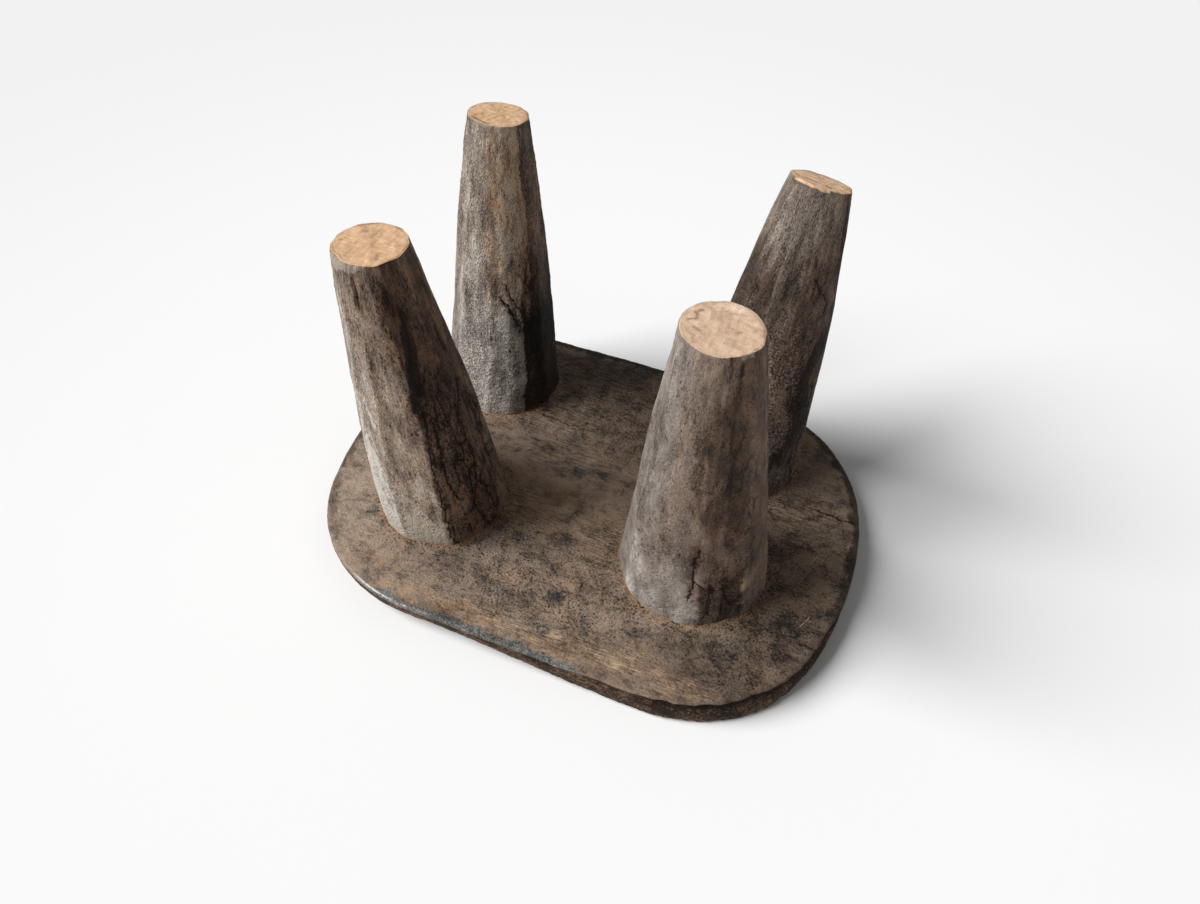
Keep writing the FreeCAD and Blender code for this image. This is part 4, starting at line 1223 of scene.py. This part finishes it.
def seat_wood(group):
    """Worn seat: brown fibres along X, dark mottling, tan streaks, a dark polished edge, rough sides, painted
    shade under the lip and painted light and shadow in its tone.
    """
    material, tree, shader = new_material("worn_seat_wood")
    wood = aged_wood(tree, group, {
        "Patina": (0.022, 0.016, 0.016), "Bloom": (0.030, 0.020, 0.020), "Fibre": (0.0100, 0.0010, 0.0010),
        "Grit": (0.0013, 0.0011, 0.0011), "Hair": (0.030, 0.0070, 0.0070), "Pore": (0.0034, 0.0028, 0.0028),
        "Check": (0.016, 0.010, 0.010), "Stain": (0.0110, 0.0085, 0.0085),
    })
    smudge = smooth(tree, wood["Patina"], 0.42, 0.14)
    pitted = mask_of(tree, "pitted")
    patchy = weighed(tree, -0.08, [(wood["Halo"], 0.65), (smudge, 0.5), (wood["Pit"], 0.35)])
    soot = times(tree, mask_of(tree, "soot"), maths(tree, "MAXIMUM", patchy, 0.0))
    stain = maths(tree, "MINIMUM", weighed(tree, soot, [(wood["Stain"], 0.42)]), 0.7)
    torn = times(tree, wood["Halo"], pitted)
    rugged = weighed(tree, 0.08, [
        (torn, 1.0), (pitted, 0.10), (wood["Bloom"], 0.1), (mask_of(tree, "dust"), 0.65),
    ])
    pit = times(tree, rugged, wood["Pit"])
    crumb = times(tree, rugged, wood["Speck"])
    worn = weighed(tree, 0.55, [(pitted, 0.45)])
    fine = times(tree, worn, weighed(tree, -0.05, [
        (wood["Grit"], 0.15), (wood["Hair"], -0.07), (wood["Pore"], -0.13), (wood["Check"], -0.12),
    ]))
    fibre = centred(tree, wood["Fibre"])
    torn_fibre = times(tree, mask_of(tree, "fibrous"), fibre)
    tone = weighed(tree, maths(tree, "ADD", mask_of(tree, "tone"), 0.51), [
        (wood["Patina"], 0.19), (fibre, 0.05), (torn_fibre, 0.40), (fine, 1.0),
        (pit, -0.40), (crumb, 0.60), (stain, -0.22), (mask_of(tree, "stain"), -0.34), (smudge, -0.08),
    ])
    dull = ramp(tree, tone, {
        0.00: "0e0c0a", 0.22: "332a24", 0.42: "63564b", 0.58: "817265", 0.76: "a19080", 1.00: "cdb9a0",
    })
    rubbed = ramp(tree, tone, {
        0.00: "100b08", 0.22: "3b2b20", 0.42: "705741", 0.58: "937153", 0.76: "b48d68", 1.00: "dcbc92",
    })
    hue = weighed(tree, 0.03, [(wood["Bloom"], 0.28), (mask_of(tree, "warm"), 0.34), (stain, -0.2)])
    colour = tint(tree, hue, dull, rubbed)
    colour = painted(tree, smudge, 0.25, colour, "45423f")
    colour = painted(tree, stain, 0.45, colour, "3d4042")
    scratch = thin_line(tree, wood, "scratch")
    colour = painted(tree, scratch, 0.8, colour, "d8cfc0")
    ragged_bevel = weighed(tree, mask_of(tree, "bevel"), [(wood["Grit"], 0.3), (wood["Patina"], 0.45)])
    bevel = times(tree, smooth(tree, ragged_bevel, 0.52, 1.25), 0.85)
    polish = weighed(tree, -0.14, [(wood["Grit"], 0.7), (wood["Patina"], 0.7)])
    colour = tint(tree, bevel, colour, ramp(tree, polish, {0.0: "1a1b1a", 0.5: "555857", 1.0: "9c9f9b"}))
    fringe = times(tree, mask_of(tree, "fringe"), smooth(tree, wood["Grit"], 0.42, 0.70))
    colour = painted(tree, fringe, 0.75, colour, "b0855f")
    crack = thin_line(tree, wood, "crack")
    colour = painted(tree, crack, 0.9, colour, "120d0a")

    side_tone = weighed(tree, -0.42, [
        (wood["Fibre"], 0.65), (wood["Grit"], 0.45), (wood["Patina"], 0.75), (wood["Speck"], 0.30),
        (wood["Pit"], -0.20),
    ])
    side = ramp(tree, side_tone, {0.0: "0b0908", 0.45: "34271e", 1.0: "8a6f59"})
    colour = tint(tree, times(tree, mask_of(tree, "side"), 0.92), colour, side)
    # Painted shade: the groove under the lip, painted near black, partly dark stain.
    colour = painted(tree, mask_of(tree, "groove"), 0.92, colour, "0a0706")

    height = weighed(tree, 0.0, [
        (fine, 2.6), (fibre, 0.2), (torn_fibre, 0.7), (wood["Patina"], 0.7),
        (stain, -0.4), (pit, -0.6), (crumb, 0.6), (crack, -0.8),
    ])
    gloss = mask_of(tree, "gloss")
    roughness = weighed(tree, 0.64, [(wood["Grit"], 0.2), (mask_of(tree, "bevel"), -0.2), (gloss, -0.1)])
    finish_wood(tree, shader, colour, roughness, height, SEAT_RELIEF)
    connect(tree, shader, {"Coat Weight": times(tree, gloss, POLISH_WEIGHT)})
    shader.inputs["Coat Roughness"].default_value = POLISH_ROUGHNESS
    shader.inputs["Coat IOR"].default_value = POLISH_IOR
    return material


def make_floor():
    """A wide pale floor just under the seat, greyer far off as painted shade, and a room that is white to the
    eye.
    """
    half = FLOOR_SIZE / 2
    corners = [(-half, -half), (half, -half), (half, half), (-half, half)]
    mesh = bpy.data.meshes.new("floor")
    mesh.from_pydata([(x, y, -FLOOR_DROP) for x, y in corners], [], [(0, 1, 2, 3)])
    floor = place_object("floor", mesh)
    material, tree, shader = new_material("pale_floor")
    place = add(tree, "TexCoord").outputs["Object"]
    distance = add(tree, "VectorMath", {0: place}, operation="LENGTH").outputs["Value"]
    # Painted shade: the floor turns greyer far from the seat, a falloff of light painted into its colour.
    far = smooth(tree, distance, *FLOOR_SHADE_FADE)
    connect(tree, shader, {"Base Color": tint(tree, far, FLOOR_NEAR, FLOOR_FAR_SHADE)})
    shader.inputs["Roughness"].default_value = 1.0
    shader.inputs["Specular IOR Level"].default_value = 0.0
    mesh.materials.append(material)

    world = bpy.data.worlds.new("room")
    world.use_nodes = True
    bpy.context.scene.world = world
    tree = world.node_tree
    tree.nodes.clear()
    path = add(tree, "LightPath").outputs
    seen = maths(tree, "MAXIMUM", path["Is Camera Ray"], path["Is Glossy Ray"])
    seen = maths(tree, "MAXIMUM", seen, path["Is Transmission Ray"])
    light = add(tree, "Background", {"Color": (1, 1, 1, 1), "Strength": ROOM_LIGHT})
    white = add(tree, "Background", {"Color": (1, 1, 1, 1), "Strength": 1.0})
    mixed = add(tree, "MixShader", {0: seen, 1: light.outputs[0], 2: white.outputs[0]})
    add(tree, "OutputWorld", {"Surface": mixed.outputs[0]})


def make_lights_and_camera():
    """One broad key light from the left, and the photograph's camera with its slight roll."""
    sun = bpy.data.lights.new("key_light", "SUN")
    sun.energy = KEY_STRENGTH
    sun.angle = math.radians(KEY_SPREAD)
    lamp = place_object("key_light", sun)
    lamp.rotation_mode = "QUATERNION"
    lamp.rotation_quaternion = KEY_FROM.to_track_quat("Z", "Y")

    back = (CAMERA_PLACE - CAMERA_TARGET).normalized()
    level = Vector((0, 0, 1)).cross(back).normalized()
    roll = math.radians(CAMERA_ROLL)
    right = level * math.cos(roll) + back.cross(level) * math.sin(roll)
    up = back.cross(right)
    view = bpy.data.cameras.new("camera")
    view.lens = CAMERA_LENS
    view.clip_start = CAMERA_NEAR
    camera = place_object("camera", view)
    turn = Matrix((right, up, back)).transposed().to_4x4()
    camera.matrix_world = Matrix.Translation(CAMERA_PLACE) @ turn
    bpy.context.scene.camera = camera


def main():
    """Sets the stage, then makes the seat and the four legs, ties each to the frame's root and hides the
    imported part it replaces.
    """
    bpy.context.scene.view_settings.view_transform = "Standard"
    make_floor()
    make_lights_and_camera()
    group = aged_wood_group()

    seat = make_seat(seat_wood(group))
    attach(seat, "root")
    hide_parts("seat")
    leg_material = leg_wood(group)
    for node, leg in LEGS.items():
        piece = make_leg(node, leg, leg_material)
        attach(piece, "root")
        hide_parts(node)


main()
